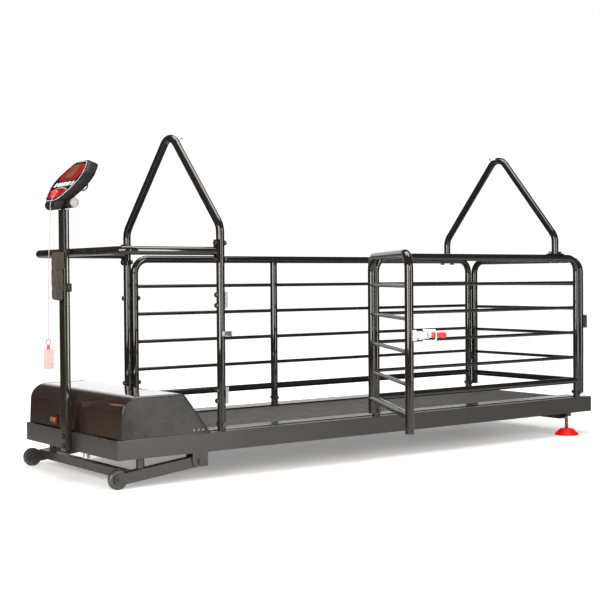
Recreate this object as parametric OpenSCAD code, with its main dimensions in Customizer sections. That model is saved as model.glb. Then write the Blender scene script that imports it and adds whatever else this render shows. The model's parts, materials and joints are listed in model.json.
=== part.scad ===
// Dog treadmill: a railed running deck with two leash arches, a side gate, a rear gate,
// an operator's mast with a console, and a lift frame on wheels at the motor end.
// Millimetres. X runs from the motor end to the rear, Y to the far side, Z up from the floor.

/* [Base frame] */
// Length of the side rails
rail_len = 2532; // [2400:2:2700]
// Width over both side rails
base_w = 770; // [740:2:820]
// Height of the rails' underside above the floor
ground = 105; // [100:1:115]
// Height of a side rail
rail_h = 70; // [68:1:80]
// Width of a side rail
rail_w = 44; // [40:1:48]
// Wall of the side rails
rail_wall = 2.5; // [2:0.5:4]
// Thickness of the front plate and of the motor pan
plate_t = 3; // [2:0.5:4]

/* [Running deck] */
// Width of a foot rail beside the running belt
foot_rail_w = 71; // [60:1:100]
// Thickness of the running belt
belt_t = 2.4; // [1.8:0.2:3.2]
// Thickness of the deck board
deck_t = 18; // [15:1:20]
// Diameter of the front and rear rollers
roller_d = 52; // [46:1:54]
// Front roller's axis behind the front plate
front_roller_x = 335; // [325:1:345]
// Rear roller's axis ahead of the rails' rear end
rear_roller_inset = 62; // [56:1:80]

/* [Hood] */
// Height of the hood above the rails
hood_h = 154; // [140:2:170]
// Front face of the hood behind the front plate's face
hood_front = 16; // [12:1:24]
// Rear foot of the hood's slope
hood_rear = 388; // [384:1:396]
// Thickness of the hood sheet
hood_t = 2; // [1.5:0.5:3]

/* [Cage tubes] */
// Diameter of the cage tubes
tube_d = 32; // [28:1:34]
// Wall of the cage tubes
tube_wall = 2; // [1.5:0.25:3]
// Diameter of the thin rods
rod_d = 15; // [12:1:18]
// Diameter of the bottom bars
bar_d = 28; // [22:1:28]
// Bend radius of the panel corners
hoop_r = 62; // [50:1:75]

/* [Cage panels] */
// Height of the panels' top rails above the floor
panel_top = 834; // [800:1:880]
// Pitch of the thin rods
rod_pitch = 118; // [110:1:122]
// Lowest thin rod above the bottom bar
bar_gap = 110; // [100:1:120]
// Front post of the far panel
far_front_x = 487; // [487:1:500]
// Front post of the near panel
near_front_x = 1214; // [1150:1:1260]
// Rear posts of both panels
panel_rear_x = 2460; // [2380:1:2460]

/* [Leash arches] */
// Front arch behind the front plate
arch_x = 453; // [440:1:453]
// Height of the front arch's crown
arch_top = 1312; // [1260:1:1360]
// Height where the front arch's legs bend in
arch_knee = 948; // [930:1:1000]
// Rear arch behind the front plate
rear_arch_x = 2312; // [2200:1:2330]
// Height of the rear arch's crown
rear_arch_top = 1320; // [1260:1:1360]
// Height where the rear arch's legs bend in
rear_arch_knee = 935; // [920:1:1000]
// Bend radius at the knees
knee_r = 70; // [60:1:80]
// Bend radius at the crowns
crown_r = 62; // [40:1:80]

/* [Side gate] */
// How far the gate stands open, from shut
gate_open = 61.2; // [0:0.2:120]
// Post of the gate from the post that carries it, when shut
gate_post_gap = 38; // [36:1:44]
// Gap between the shut gate and its strike plates
strike_gap = 3; // [2:0.5:6]
// Height of the latch above the floor
latch_z = 542; // [520:1:560]
// Length of the latch lever with its grip
lever_len = 94; // [86:1:104]

/* [Rear gate] */
// Rear gate's posts behind the panels' rear posts
rear_gate_gap = 46; // [44:1:52]
// Rear gate's free post in from the near panel's posts
rear_gate_inset = 18; // [0:1:30]
// Rear gate's top rail below the panels' top rails
rear_gate_drop = 6; // [2:1:12]
// Feet of both gates above the rails
gate_lift = 16; // [12:1:24]

/* [Mast and handlebar] */
// Width of the mast tube
mast_w = 50; // [44:1:60]
// Depth of the mast tube
mast_d = 25; // [22:1:28]
// Corner radius of the mast tube
mast_r = 7; // [4:0.5:9]
// Wall of the mast tube
mast_wall = 2; // [1.5:0.5:3]
// Top of the mast above the floor
mast_top = 1013; // [960:1:1050]
// Height of the handlebar
handle_z = 852; // [846:1:880]
// Handlebar's cross tube behind the front plate
handle_x = 33; // [28:1:50]

/* [Console] */
// Lean of the console's face from level
console_lean = 50; // [46:1:54]
// Width of the console's face
console_w = 220; // [204:2:240]
// Length of the console's face
console_len = 212; // [200:2:226]
// Thickness of the console
console_t = 44; // [40:1:50]

/* [Lift frame and feet] */
// Diameter of a transport wheel
wheel_d = 72; // [66:1:74]
// Width of a transport wheel
wheel_w = 24; // [20:1:25]
// Transport wheels' axle behind the front plate
wheel_x = 12; // [8:1:24]
// Lift frame's pivot behind the front plate
pivot_x = 344; // [338:1:356]
// Lift frame's pivot below the rails
pivot_drop = 32; // [30:1:36]
// Height of a lift arm's tube
arm_h = 40; // [36:1:42]
// Diameter of a levelling foot's base
foot_d = 114; // [100:1:120]
// Height of a levelling foot's base
foot_h = 30; // [26:1:34]
// Diameter of a levelling foot's threaded rod
foot_rod_d = 16; // [14:1:18]
// Levelling feet ahead of the rails' rear end
foot_inset = 140; // [130:1:180]

/* [Pouch] */
// Width of the pouch
pouch_w = 40; // [34:1:52]
// Depth of the pouch
pouch_d = 38; // [28:1:42]
// Pouch's middle towards the near side from the mast's
pouch_near = 7; // [0:1:10]
// Length of the pouch
pouch_len = 181; // [160:1:200]

/* [Hidden] */
$fn = 48;

// Named clearances
seat_gap = 0.05;
run_gap = 0.3;
fit_gap = 0.05;

// Levels and lines that the pieces share
half_w = base_w / 2;
rail_top = ground + rail_h;
rail_in = half_w - rail_w;
belt_w = 2 * (rail_in - foot_rail_w);
post_y = half_w - rail_w / 2;
tube_r = tube_d / 2;
rail_end = plate_t + rail_len;
rear_roller_x = rail_end - rear_roller_inset;
belt_drop = 4;
belt_top = rail_top - belt_drop;
belt_bore_r = roller_d / 2 + run_gap;
roller_z = belt_top - belt_t - belt_bore_r;
deck_top = belt_top - belt_t - run_gap;
deck_under = deck_top - deck_t;
roller_room = 12;
deck_x0 = front_roller_x + roller_d / 2 + roller_room;
deck_x1 = rear_roller_x - roller_d / 2 - roller_room;
belt_return = roller_z - belt_bore_r;
cross_z = belt_return + 4;
cross_h = 18;
cross_w = 40;
cross_count = 5;
cross_end = 40;
cushion_d = 30;
hood_top = rail_top + hood_h;
pan_top = ground + plate_t;

// Rails across the panels, from the top rail down
rod_count = 4;
rod_z = [for (i = [1:rod_count]) panel_top - i * rod_pitch + 2];
bar_z = rod_z[rod_count - 1] - bar_gap;

// Side gate, drawn shut and then swung open about its hinge line
gate_hinge = [near_front_x - gate_post_gap / 2, -post_y - 13];
gate_post_x = near_front_x - gate_post_gap;
strike_t = 9;
gate_free_x = arch_x + tube_r + strike_t + strike_gap + tube_r;
gate_foot = rail_top + gate_lift;

// Rear gate's hinge line, on the far side
rear_gate_x = panel_rear_x + rear_gate_gap;
rear_hinge = [panel_rear_x + rear_gate_gap / 2, post_y];
rear_free_y = rear_gate_inset - post_y;

// Hinge knuckles, stacked on a pin
knuckle_d = 12;
knuckle_h = 20;
pin_d = 8;
pin_r = pin_d / 2;
hinge_levels = [318, 684];

// Lift arms, from the pivot down to the wheel axle
pivot_z = ground - pivot_drop;
arm_w = 36;
arm_wall = 3;
bracket_t = 5;
fork_t = 5;
arm_y = half_w - bracket_t - 1 - arm_w / 2;
axle_z = wheel_d / 2;
arm_run = pivot_x - wheel_x;
arm_fall = pivot_z - axle_z;
arm_slope = atan2(arm_fall, arm_run);
arm_reach = norm([arm_run, arm_fall]);
fork_reach = 46;
axle_d = 12;
lift_bar_x = 48;
lift_bar = 32;
lift_bar_rise = 6;
stop_x = 104;
stop_d = 30;

// Lift motor's screw, above the lift frame's cross bar
screw_x = wheel_x + lift_bar_x;
screw_y = -25;
screw_d = 25;
screw_clear = 7;
arm_z_at_bar = axle_z + lift_bar_x * tan(arm_slope);
screw_foot = arm_z_at_bar + lift_bar_rise + lift_bar / 2 + screw_clear;

// Drive motor and its belt to the front roller
motor_x = 140;
motor_z = pan_top + 66;
motor_d = 100;
shaft_d = 15;
drive_y0 = rail_in - 46;
drive_w = 22;
motor_y0 = 62;
motor_y1 = drive_y0 - 37;
fly_d = 124;
fly_w = 22;
fly_y0 = motor_y0 - 16 - fly_w;
pan_len = front_roller_x - 35;
case_x = motor_x - 36;
case_y0 = 41 - rail_in;
case_l = 150;
case_h = 62;
motor_pulley_d = 38;
roller_pulley_d = 66;
drive_belt_t = 4;
stub_d = 20;
block_t = 12;

// Levelling feet and the bar that carries them
foot_x = rail_end - foot_inset;
foot_y = half_w - 28;
foot_bar_w = 38;
foot_bar_h = 25;
foot_block_h = 16;
foot_rod_top = ground + 30;

// Console, tilting on the axle at the mast's head
pivot = [-5, 0, mast_top + 23];
axle_r = 8;
barrel_r = 19;
barrel_in = 20;
barrel_out = 78;
face_low = -38;
// How far the console's back stands up from its face
back_rise = 26;
// The rounded chin under the face: its place up the face and out of it, and its diameter
chin = [-36, 32, 38];
chin_w = 92;
chin_edge = 9;
face_n = 8 + console_t;
window_depth = 3;
key_size = [14, 26, 5];
key_travel = 1.5;
key_s = 52;
key_pitch = 36;
stop_key = [2, 12];
stop_key_d = 36;

// Safety cord: from the key over the console's lip and straight down to its clip
cord_d = 2.6;
cord_sides = 8;
cord_route = [
    [-52.5, -1, 1061.9], [-58.1, -5, 1057], [-64, -9, 1050.3], [-69, -13, 1042.8], [-72.7, -15, 1036],
    [-74.2, -16.5, 1028], [-74.5, -17, 1015], [-74.5, -17, 995], [-74.5, -13, 960], [-74.5, -9, 925],
    [-74.5, -5, 890], [-74.5, -1.5, 855], [-74.5, 1.5, 820], [-74.5, 4, 780], [-74.5, 6.5, 740],
    [-74.5, 8.5, 690], [-74.5, 10, 640], [-74.5, 11, 580], [-74.5, 11, 526]
];

// Pull latch: ears, lever, hook and grip, and the keeper that the hook drops over
ear_gap = 24;
ear_t = 3;
plate_z = 10.5;
hook_off = 14;
hook_z = 19;
hook_d = 6;
hook_reach = 44;
hook_hang = 24;
grip_len = 52;
grip_bore = 9;
latch_pin_d = 6;
grip_d = 22;
grip_nose = 4;
latch_y = -post_y - tube_r - 24;
keeper_x = gate_free_x + hook_off - hook_reach + hook_d / 2 + 5.2 - arch_x;

// Centre of the footprint, which is the part's origin on the floor
gate_reach = gate_hinge[0] - gate_free_x;
lever_out = gate_hinge[1] - latch_y + lever_len;
gate_out = (gate_reach + grip_d / 2) * sin(gate_open) + (lever_out - grip_nose) * cos(gate_open);
catch_d = 20;
print_y1 = foot_y + foot_d / 2;
print_y0 = min(gate_hinge[1] - gate_out, -print_y1);
face_x0 = pivot[0] + (face_low + 4) * cos(console_lean) - face_n * sin(console_lean);
chin_x0 = pivot[0] + chin[0] * cos(console_lean) - chin[1] * sin(console_lean) - chin[2] / 2;
print_x0 = min(face_x0, chin_x0);
print_x1 = rear_gate_x + tube_r + catch_d;
origin = [(print_x0 + print_x1) / 2, (print_y0 + print_y1) / 2, 0];

// Finishes
black = [0.06, 0.06, 0.06];
charcoal = [0.2, 0.2, 0.21];
zinc = [0.75, 0.76, 0.78];
red = [0.85, 0.1, 0.1];
rubber = [0.1, 0.1, 0.1];
cast = [0.35, 0.36, 0.38];

// Helpers

module placed() {
    translate(-origin) children();
}

module both_sides() {
    children();
    mirror([0, 1, 0]) children();
}

// A cylinder between two levels
module upright(x, y, z0, z1, d) {
    translate([x, y, z0]) cylinder(h = z1 - z0, d = d);
}

// A cylinder along Y between two places
module across(x, z, y0, y1, d) {
    translate([x, y0, z]) rotate([-90, 0, 0]) cylinder(h = y1 - y0, d = d);
}

// A cylinder along X between two places
module along(y, z, x0, x1, d) {
    translate([x0, y, z]) rotate([0, 90, 0]) cylinder(h = x1 - x0, d = d);
}

module ring_section(d, wall) {
    difference() {
        circle(d = d);
        if (wall > 0) circle(d = d - 2 * wall);
    }
}

function heading(p, i) = (p[i + 1] - p[i]) / norm(p[i + 1] - p[i]);
function is_end(p, i) = i == 0 || i == len(p) - 1;
function turn(p, i) = is_end(p, i) ? 0
    : atan2(cross(heading(p, i - 1), heading(p, i)), heading(p, i - 1) * heading(p, i));
function setback(p, r, i) = abs(r[i] * tan(turn(p, i) / 2));

// A tube along flat points with a bend radius at each, lying in the XY plane.
// A sleeve is the half length of the welded sleeve over each join of straight and bend.
module bent_tube(p, r, d, wall = 0, sleeve = 0) {
    short = sleeve > 0 ? 0.5 : 0;
    for (i = [0:len(p) - 2]) {
        run = heading(p, i);
        a = p[i] + run * (setback(p, r, i) + (is_end(p, i) ? 0 : short));
        b = p[i + 1] - run * (setback(p, r, i + 1) + (is_end(p, i + 1) ? 0 : short));
        translate([a[0], a[1], 0]) rotate([0, 0, atan2(run[1], run[0])]) rotate([0, 90, 0]) {
            linear_extrude(norm(b - a)) ring_section(d, wall);
            if (sleeve > 0 && !is_end(p, i)) translate([0, 0, -short - sleeve])
                linear_extrude(2 * sleeve) ring_section(d + 1, wall + 1);
            if (sleeve > 0 && !is_end(p, i + 1)) translate([0, 0, norm(b - a) + short - sleeve])
                linear_extrude(2 * sleeve) ring_section(d + 1, wall + 1);
        }
    }
    for (i = [1:len(p) - 2]) {
        run = heading(p, i - 1);
        bend = turn(p, i);
        side = sign(bend);
        a = p[i] - run * setback(p, r, i);
        c = a + side * r[i] * [-run[1], run[0]];
        start = atan2(a[1] - c[1], a[0] - c[0]);
        translate([c[0], c[1], 0]) rotate([0, 0, side > 0 ? start : start - abs(bend)])
            rotate_extrude(angle = abs(bend)) translate([r[i], 0]) ring_section(d, wall);
    }
}

// Stands a drawing of the XY plane up in the plane across X
module in_cross_plane(x) {
    translate([x, 0, 0]) rotate([90, 0, 90]) children();
}

// Stands a drawing of the XY plane up in the plane across Y
module in_long_plane(y) {
    translate([0, y, 0]) rotate([90, 0, 0]) children();
}

// Inverted U of bent tube between two posts
module hoop(x0, x1, z0, z1) {
    bent_tube([[x0, z0], [x0, z1], [x1, z1], [x1, z0]], [0, hoop_r, hoop_r, 0], tube_d, tube_wall);
}

// A rod along X, coped to the posts at both ends
module coped_rod(x0, x1, y, z, d, wall = 0) {
    difference() {
        along(y, z, x0, x1, d);
        if (wall > 0) along(y, z, x0 - 1, x1 + 1, d - 2 * wall);
        for (x = [x0, x1]) upright(x, y, z - d, z + d, tube_d + 2 * seat_gap);
    }
}

module panel_rods(posts, y) {
    for (i = [0:len(posts) - 2]) {
        for (z = rod_z) coped_rod(posts[i], posts[i + 1], y, z, rod_d);
        coped_rod(posts[i], posts[i + 1], y, bar_z, bar_d, tube_wall);
    }
}

// Hinge knuckle: a barrel on the hinge line and a web to its post
module knuckle(hinge, post, z) {
    reach = norm(post - hinge);
    difference() {
        union() {
            upright(hinge[0], hinge[1], z, z + knuckle_h, knuckle_d);
            translate([hinge[0], hinge[1], z])
                rotate([0, 0, atan2(post[1] - hinge[1], post[0] - hinge[0])])
                translate([0, -3, 0]) cube([reach, 6, knuckle_h]);
        }
        upright(hinge[0], hinge[1], z - 1, z + knuckle_h + 1, pin_d + 2 * fit_gap);
        upright(post[0], post[1], z - 1, z + knuckle_h + 1, tube_d - tube_wall);
    }
}

// Bolts of the frame: place, direction, grip length, shank diameter
bolt_d = 10;
head_d = 19;
head_h = 7;
nut_h = 8;
bolt_heads = 2;
plate_hug = 8;
foot_bolt_z = rail_top + 24;
handle_bolt_gap = 31;
saddle_reach = 33;
saddle_t = 4;
strike_len = 62;
strike_levels = [309, 668];
mast_bolt_z = [ground + 16, ground + 52];
post_grip = tube_d + 0.2;
frame_bolt_list = concat(
    [for (y = [-post_y, post_y], dz = [-handle_bolt_gap, handle_bolt_gap])
        [[arch_x - tube_r - plate_hug / 2, y, handle_z + dz], "x", tube_d + plate_hug / 2]],
    [for (z = strike_levels)
        [[arch_x - tube_r, post_y, z], "x", far_front_x - arch_x + tube_d]],
    [for (z = strike_levels, dz = [-20, 20])
        [[arch_x + tube_r + strike_t - head_h, -post_y, z + dz], "-x", tube_d + strike_t - head_h]],
    [for (y = [-post_y, post_y], dx = [-saddle_reach, saddle_reach])
        [[rear_arch_x + dx, y, panel_top - tube_r], "z", tube_d + saddle_t]],
    [for (y = [-post_y, post_y])
        [[arch_x, y - tube_r, foot_bolt_z], "y", tube_d]],
    [for (x = [near_front_x, panel_rear_x])
        [[x, -post_y - tube_r, foot_bolt_z], "y", tube_d]],
    [for (x = [far_front_x, near_front_x, panel_rear_x])
        [[x, post_y - tube_r, foot_bolt_z], "y", tube_d]],
    [for (z = mast_bolt_z)
        [[-mast_d, 0, z], "x", mast_d + plate_t]]
);

module pointed(at, way) {
    translate(at) rotate(
        way == "x" ? [0, 90, 0] : way == "-x" ? [0, -90, 0] : way == "y" ? [-90, 0, 0] : [0, 0, 0]
    ) children();
}

// One bolt: a round head, a shank through the grip and a hexagonal nut with its tail
module bolt(at, way, grip) {
    pointed(at, way) {
        translate([0, 0, -head_h]) cylinder(h = head_h, d = head_d);
        translate([0, 0, -1]) cylinder(h = grip + nut_h + 4, d = bolt_d);
        translate([0, 0, grip]) cylinder(h = nut_h, d = head_d, $fn = 6);
    }
}

module bolt_bores(list) {
    for (b = list) pointed(b[0], b[1]) translate([0, 0, -1]) cylinder(h = b[2] + 2, d = bolt_d + 2 * fit_gap);
}

// Base frame

module side_rails() color(charcoal) both_sides() difference() {
    translate([plate_t, -half_w, ground]) difference() {
        cube([rail_len, rail_w, rail_h]);
        translate([-1, rail_wall, rail_wall])
            cube([rail_len + 2, rail_w - 2 * rail_wall, rail_h - 2 * rail_wall]);
    }
    upright(foot_x, -foot_y, ground - 1, ground + rail_wall + 1, foot_rod_d + 4);
}

module end_caps() color(rubber) both_sides() {
    translate([rail_end, -half_w, ground]) cube([plate_t, rail_w, rail_h]);
    translate([rail_end - 18, -half_w + rail_wall + fit_gap, ground + rail_wall + fit_gap])
        cube([18, rail_w - 2 * (rail_wall + fit_gap), rail_h - 2 * (rail_wall + fit_gap)]);
}

module front_plate() color(charcoal) difference() {
    translate([0, -half_w, ground]) cube([plate_t, base_w, rail_h]);
    bolt_bores(frame_bolt_list);
}

module motor_pan() color(charcoal) difference() {
    translate([plate_t, -rail_in, ground]) cube([pan_len, 2 * rail_in, plate_t]);
    upright(screw_x, screw_y, ground - 1, pan_top + 1, screw_d + 3);
}

function cross_x(i) = deck_x0 + cross_end + i * (deck_x1 - deck_x0 - 2 * cross_end) / (cross_count - 1);

module cross_members() color(charcoal) {
    for (i = [0:cross_count - 1])
        translate([cross_x(i) - cross_w / 2, -rail_in, cross_z]) difference() {
            cube([cross_w, 2 * rail_in, cross_h]);
            translate([2, -1, 2]) cube([cross_w - 4, 2 * rail_in + 2, cross_h - 4]);
        }
    foot_bar();
}

// Bar under the rails with a threaded block for each levelling foot
module foot_bar() {
    block_x = foot_x - foot_rod_d / 2 - 8;
    difference() {
        translate([block_x - foot_bar_w, -foot_y - 6, ground - foot_bar_h])
            cube([foot_bar_w, 2 * foot_y + 12, foot_bar_h]);
        translate([block_x - foot_bar_w + 2, -foot_y - 7, ground - foot_bar_h + 2])
            cube([foot_bar_w - 4, 2 * foot_y + 14, foot_bar_h - 4]);
    }
    both_sides() difference() {
        translate([block_x, -foot_y - 14, ground - foot_block_h])
            cube([foot_rod_d + 16, 28, foot_block_h]);
        upright(foot_x, -foot_y, ground - foot_block_h - 1, ground + 1, foot_rod_d + 2 * fit_gap);
    }
}

module deck_board() color("peru")
    translate([deck_x0, -rail_in + 1, deck_under]) cube([deck_x1 - deck_x0, 2 * rail_in - 2, deck_t]);

module deck_cushions() color(rubber)
    for (i = [0:cross_count - 1], y = [-1, 1])
        upright(cross_x(i), y * (belt_w / 2 - 40), cross_z + cross_h, deck_under, cushion_d);

module belt_loop(r) {
    for (x = [front_roller_x, rear_roller_x]) translate([x, roller_z]) circle(r = r, $fn = 96);
    translate([front_roller_x, roller_z - r]) square([rear_roller_x - front_roller_x, 2 * r]);
}

module running_belt() color([0.28, 0.28, 0.28])
    translate([0, belt_w / 2, 0]) rotate([90, 0, 0]) linear_extrude(belt_w) difference() {
        belt_loop(belt_bore_r + belt_t);
        belt_loop(belt_bore_r);
    }

// Foot rail: a stepped strip on the deck's edge, with a lip over the belt and a row of grip grooves
module foot_rails() color(black) {
    lip_y = belt_w / 2 - 6;
    wall_y = belt_w / 2 + 6;
    out_y = rail_in - 0.5;
    top = rail_top + 3;
    groove = 3;
    both_sides() translate([hood_rear + 1, 0, 0]) rotate([90, 0, 90])
        linear_extrude(rear_roller_x + 24 - hood_rear) difference() {
            polygon([
                [lip_y + 3, top], [lip_y, top - 2], [lip_y, belt_top + 1], [wall_y, belt_top + 1],
                [wall_y, deck_top], [out_y, deck_top], [out_y, top - 2], [out_y - 2, top]
            ]);
            for (y = [lip_y + 18:12:out_y - 12]) translate([y, top - 1]) square([groove, 2]);
        }
}

module bearing_blocks() color(cast) both_sides()
    for (x = [front_roller_x, rear_roller_x]) difference() {
        translate([x - 20, rail_in - block_t, roller_z - 20]) cube([40, block_t, 40]);
        across(x, roller_z, rail_in - block_t - 1, rail_in + 1, stub_d + 2 * fit_gap);
    }

// Hood: a bent sheet between two side plates

// The hood's side view as a slab, drawn in by a margin; its rear slope falls 4 in every 3
module hood_block(inset, t) {
    nose_r = 46 - inset;
    brow_r = 34 - inset;
    x0 = hood_front + inset;
    top = hood_top - inset;
    foot_x = hood_rear - inset * 5 / 4;
    corner_x = foot_x - (top - rail_top) * 3 / 4;
    brow = brow_r / 2;
    linear_extrude(t) polygon([
        [x0, rail_top], [x0, top - nose_r], [x0 + nose_r, top], [corner_x - brow, top],
        [corner_x + brow * 0.6, top - brow * 0.8], [foot_x, rail_top]
    ]);
    translate([x0 + nose_r, top - nose_r]) cylinder(h = t, r = nose_r, $fn = 96);
    translate([corner_x - brow, top - brow_r]) cylinder(h = t, r = brow_r, $fn = 96);
}

module hood_slice(y0, y1, inset) {
    in_long_plane(y1) hood_block(inset, y1 - y0);
}

module hood_shell() color([0.1, 0.07, 0.06]) difference() {
    hood_slice(-half_w + hood_t, half_w - hood_t, 0);
    hood_slice(-half_w, half_w, hood_t);
    switch_place() cube([40, switch_w - 4, switch_h - 4], center = true);
}

// Side plates, each with a raised bead along its edge
module hood_sides() color([0.3, 0.3, 0.31]) both_sides() {
    hood_slice(-half_w, -half_w + hood_t, 0);
    difference() {
        hood_slice(-half_w - 2, -half_w, 0);
        hood_slice(-half_w - 3, -half_w + 1, 4);
    }
}

// Power switch on the hood's front: a housing with a green and a red button
switch_w = 58;
switch_h = 38;
switch_y = 158;
switch_z = rail_top + 30;
button_gap = 26;
button_d = 20;
button_travel = 3;

module switch_place() {
    translate([hood_front, switch_y, switch_z]) children();
}

module switch_housing() color(black) switch_place() difference() {
    union() {
        translate([-4, -switch_w / 2, -switch_h / 2]) cube([4, switch_w, switch_h]);
        translate([0, -switch_w / 2 + 4, -switch_h / 2 + 4]) cube([22, switch_w - 8, switch_h - 8]);
    }
    for (y = [-1, 1])
        along(y * button_gap / 2, 0, -5, 14, button_d + 2 * run_gap);
}

module switch_button(side) {
    switch_place() along(side * button_gap / 2, 0, -9, 14 - button_travel - run_gap, button_d);
}

module on_button() color("green") switch_button(1);
module off_button() color(red) switch_button(-1);

// Drive under the hood

module drive_motor() color(cast) difference() {
    union() {
        across(motor_x, motor_z, motor_y0 + 8, motor_y1 - 8, motor_d);
        across(motor_x, motor_z, motor_y0, motor_y1, motor_d - 24);
        for (y = [motor_y0 + 28, motor_y1 - 42])
            translate([motor_x - 44, y, pan_top]) cube([88, 14, motor_z - pan_top - 20]);
    }
    across(motor_x, motor_z, motor_y0 - 1, motor_y1 + 1, shaft_d + 2 * fit_gap);
}

module motor_pulley() color(zinc) {
    across(motor_x, motor_z, fly_y0, drive_y0 + drive_w, shaft_d);
    across(motor_x, motor_z, fly_y0, fly_y0 + fly_w, fly_d);
    across(motor_x, motor_z, drive_y0, drive_y0 + drive_w, motor_pulley_d);
}

module motor_controller() color(cast) translate([case_x, case_y0, pan_top]) difference() {
    case_w = screw_y - 65 - case_y0;
    cube([case_l, case_w, case_h]);
    for (y = [10:14:case_w - 20]) translate([-1, y, 36]) cube([case_l + 2, 8, case_h - 35]);
}

// What a belt round two pulleys encloses
module pulley_loop(c1, r1, c2, r2, t) {
    way = c2 - c1;
    lead = atan2(way[1], way[0]);
    lap = acos((r1 - r2) / norm(way));
    lay = 0.05;
    translate(c1) cylinder(h = t, r = r1);
    translate(c2) cylinder(h = t, r = r2);
    linear_extrude(t) polygon([
        for (at = [[c1, r1 - lay, lap], [c2, r2 - lay, lap], [c2, r2 - lay, -lap], [c1, r1 - lay, -lap]])
            at[0] + at[1] * [cos(lead + at[2]), sin(lead + at[2])]
    ]);
}

module drive_belt() color(rubber) {
    small = motor_pulley_d / 2 + run_gap;
    large = roller_pulley_d / 2 + run_gap;
    c1 = [motor_x, motor_z];
    c2 = [front_roller_x, roller_z];
    difference() {
        in_long_plane(drive_y0 + drive_w - 2)
            pulley_loop(c1, small + drive_belt_t, c2, large + drive_belt_t, drive_w - 4);
        in_long_plane(drive_y0 + drive_w - 1) pulley_loop(c1, small, c2, large, drive_w - 2);
    }
}

// Roller: a tube on a through shaft, closed by a disc at each end
module roller(x) {
    difference() {
        across(x, roller_z, -belt_w / 2 - 8, belt_w / 2 + 8, roller_d);
        across(x, roller_z, -belt_w / 2, belt_w / 2, roller_d - 6);
    }
    across(x, roller_z, -rail_in + 2, rail_in - 2, stub_d);
}

module front_roller() color(zinc) {
    roller(front_roller_x);
    across(front_roller_x, roller_z, drive_y0, drive_y0 + drive_w, roller_pulley_d);
}

module rear_roller() color(zinc) roller(rear_roller_x);

// Lift motor: a gearbox on the pan that drives a screw down to the lift frame
module lift_motor() color(cast) difference() {
    union() {
        translate([screw_x - 32, screw_y - 32, pan_top]) cube([64, 64, 84]);
        across(screw_x, pan_top + 50, screw_y - 130, screw_y - 32, 60);
    }
    upright(screw_x, screw_y, pan_top - 1, pan_top + 85, screw_d + 2 * fit_gap);
}

module lift_screw() color(zinc) upright(screw_x, screw_y, screw_foot, screw_foot + 225, screw_d);

// Lift frame

bracket_w = 66;

module bracket_plate(y) {
    in_long_plane(y) linear_extrude(bracket_t) difference() {
        union() {
            translate([pivot_x - bracket_w / 2, pivot_z]) square([bracket_w, pivot_drop]);
            translate([pivot_x - bracket_w / 2 + 20, pivot_z - 20]) square([bracket_w - 20, 20.01]);
            translate([pivot_x - bracket_w / 2 + 20, pivot_z]) circle(r = 20);
        }
        translate([pivot_x, pivot_z]) circle(d = axle_d + 2 * fit_gap);
    }
}

module lift_brackets() color(charcoal) both_sides() {
    bracket_plate(-half_w + bracket_t);
    bracket_plate(-half_w + 2 * bracket_t + arm_w + 2);
    translate([pivot_x - bracket_w / 2, -half_w + bracket_t - 0.01, ground - 4])
        cube([bracket_w, arm_w + 2.02, 4]);
    difference() {
        across(pivot_x, pivot_z, -half_w - 7, -half_w + 2 * bracket_t + arm_w + 9, axle_d);
        across(pivot_x, pivot_z, -half_w - 8, -half_w + 0.01, axle_d + 1);
    }
    across(pivot_x, pivot_z, -half_w - 7, -half_w, 20);
    across(pivot_x, pivot_z, -half_w + 2 * bracket_t + arm_w + 2, -half_w + 2 * bracket_t + arm_w + 9, 20);
}

// Level of a lift arm's upper face at a place along the machine
function arm_upper(x) = pivot_z - (pivot_x - x) * tan(arm_slope) + arm_h / 2 / cos(arm_slope);

module bump_stops() color(cast) both_sides()
    upright(stop_x, -arm_y, arm_upper(stop_x + stop_d / 2) + run_gap, ground, stop_d);

// Puts an arm's own drawing, with X from the pivot to the axle, on the machine
module on_arm() {
    translate([pivot_x, 0, pivot_z]) rotate([0, 180 - arm_slope, 0]) children();
}

module lift_arm() {
    difference() {
        union() {
            on_arm() translate([0, -arm_y - arm_w / 2, -arm_h / 2]) difference() {
                cube([arm_reach - fork_reach, arm_w, arm_h]);
                translate([arm_h, arm_wall, arm_wall])
                    cube([arm_reach, arm_w - 2 * arm_wall, arm_h - 2 * arm_wall]);
            }
            across(pivot_x, pivot_z, -arm_y - arm_w / 2, -arm_y + arm_w / 2, arm_h + 1.6);
            for (y = [-arm_y - arm_w / 2, -arm_y + arm_w / 2 - fork_t]) {
                on_arm() translate([arm_reach - fork_reach - 4, y, -arm_h / 2])
                    cube([fork_reach + 4, fork_t, arm_h]);
                across(wheel_x, axle_z, y, y + fork_t, arm_h - 1);
            }
        }
        across(pivot_x, pivot_z, -half_w, 0, axle_d + 2 * fit_gap);
    }
    across(wheel_x, axle_z, -arm_y - arm_w / 2 - 6, -arm_y + arm_w / 2 + 6, axle_d);
    across(wheel_x, axle_z, -arm_y - arm_w / 2 - 6, -arm_y - arm_w / 2, 18);
}

module lift_frame() color(charcoal) {
    both_sides() lift_arm();
    translate([wheel_x + lift_bar_x - lift_bar / 2, -arm_y + arm_w / 2, arm_z_at_bar + lift_bar_rise - lift_bar / 2])
        difference() {
            cube([lift_bar, 2 * arm_y - arm_w, lift_bar]);
            translate([2.5, -1, 2.5]) cube([lift_bar - 5, 2 * arm_y, lift_bar - 5]);
        }
}

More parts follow.
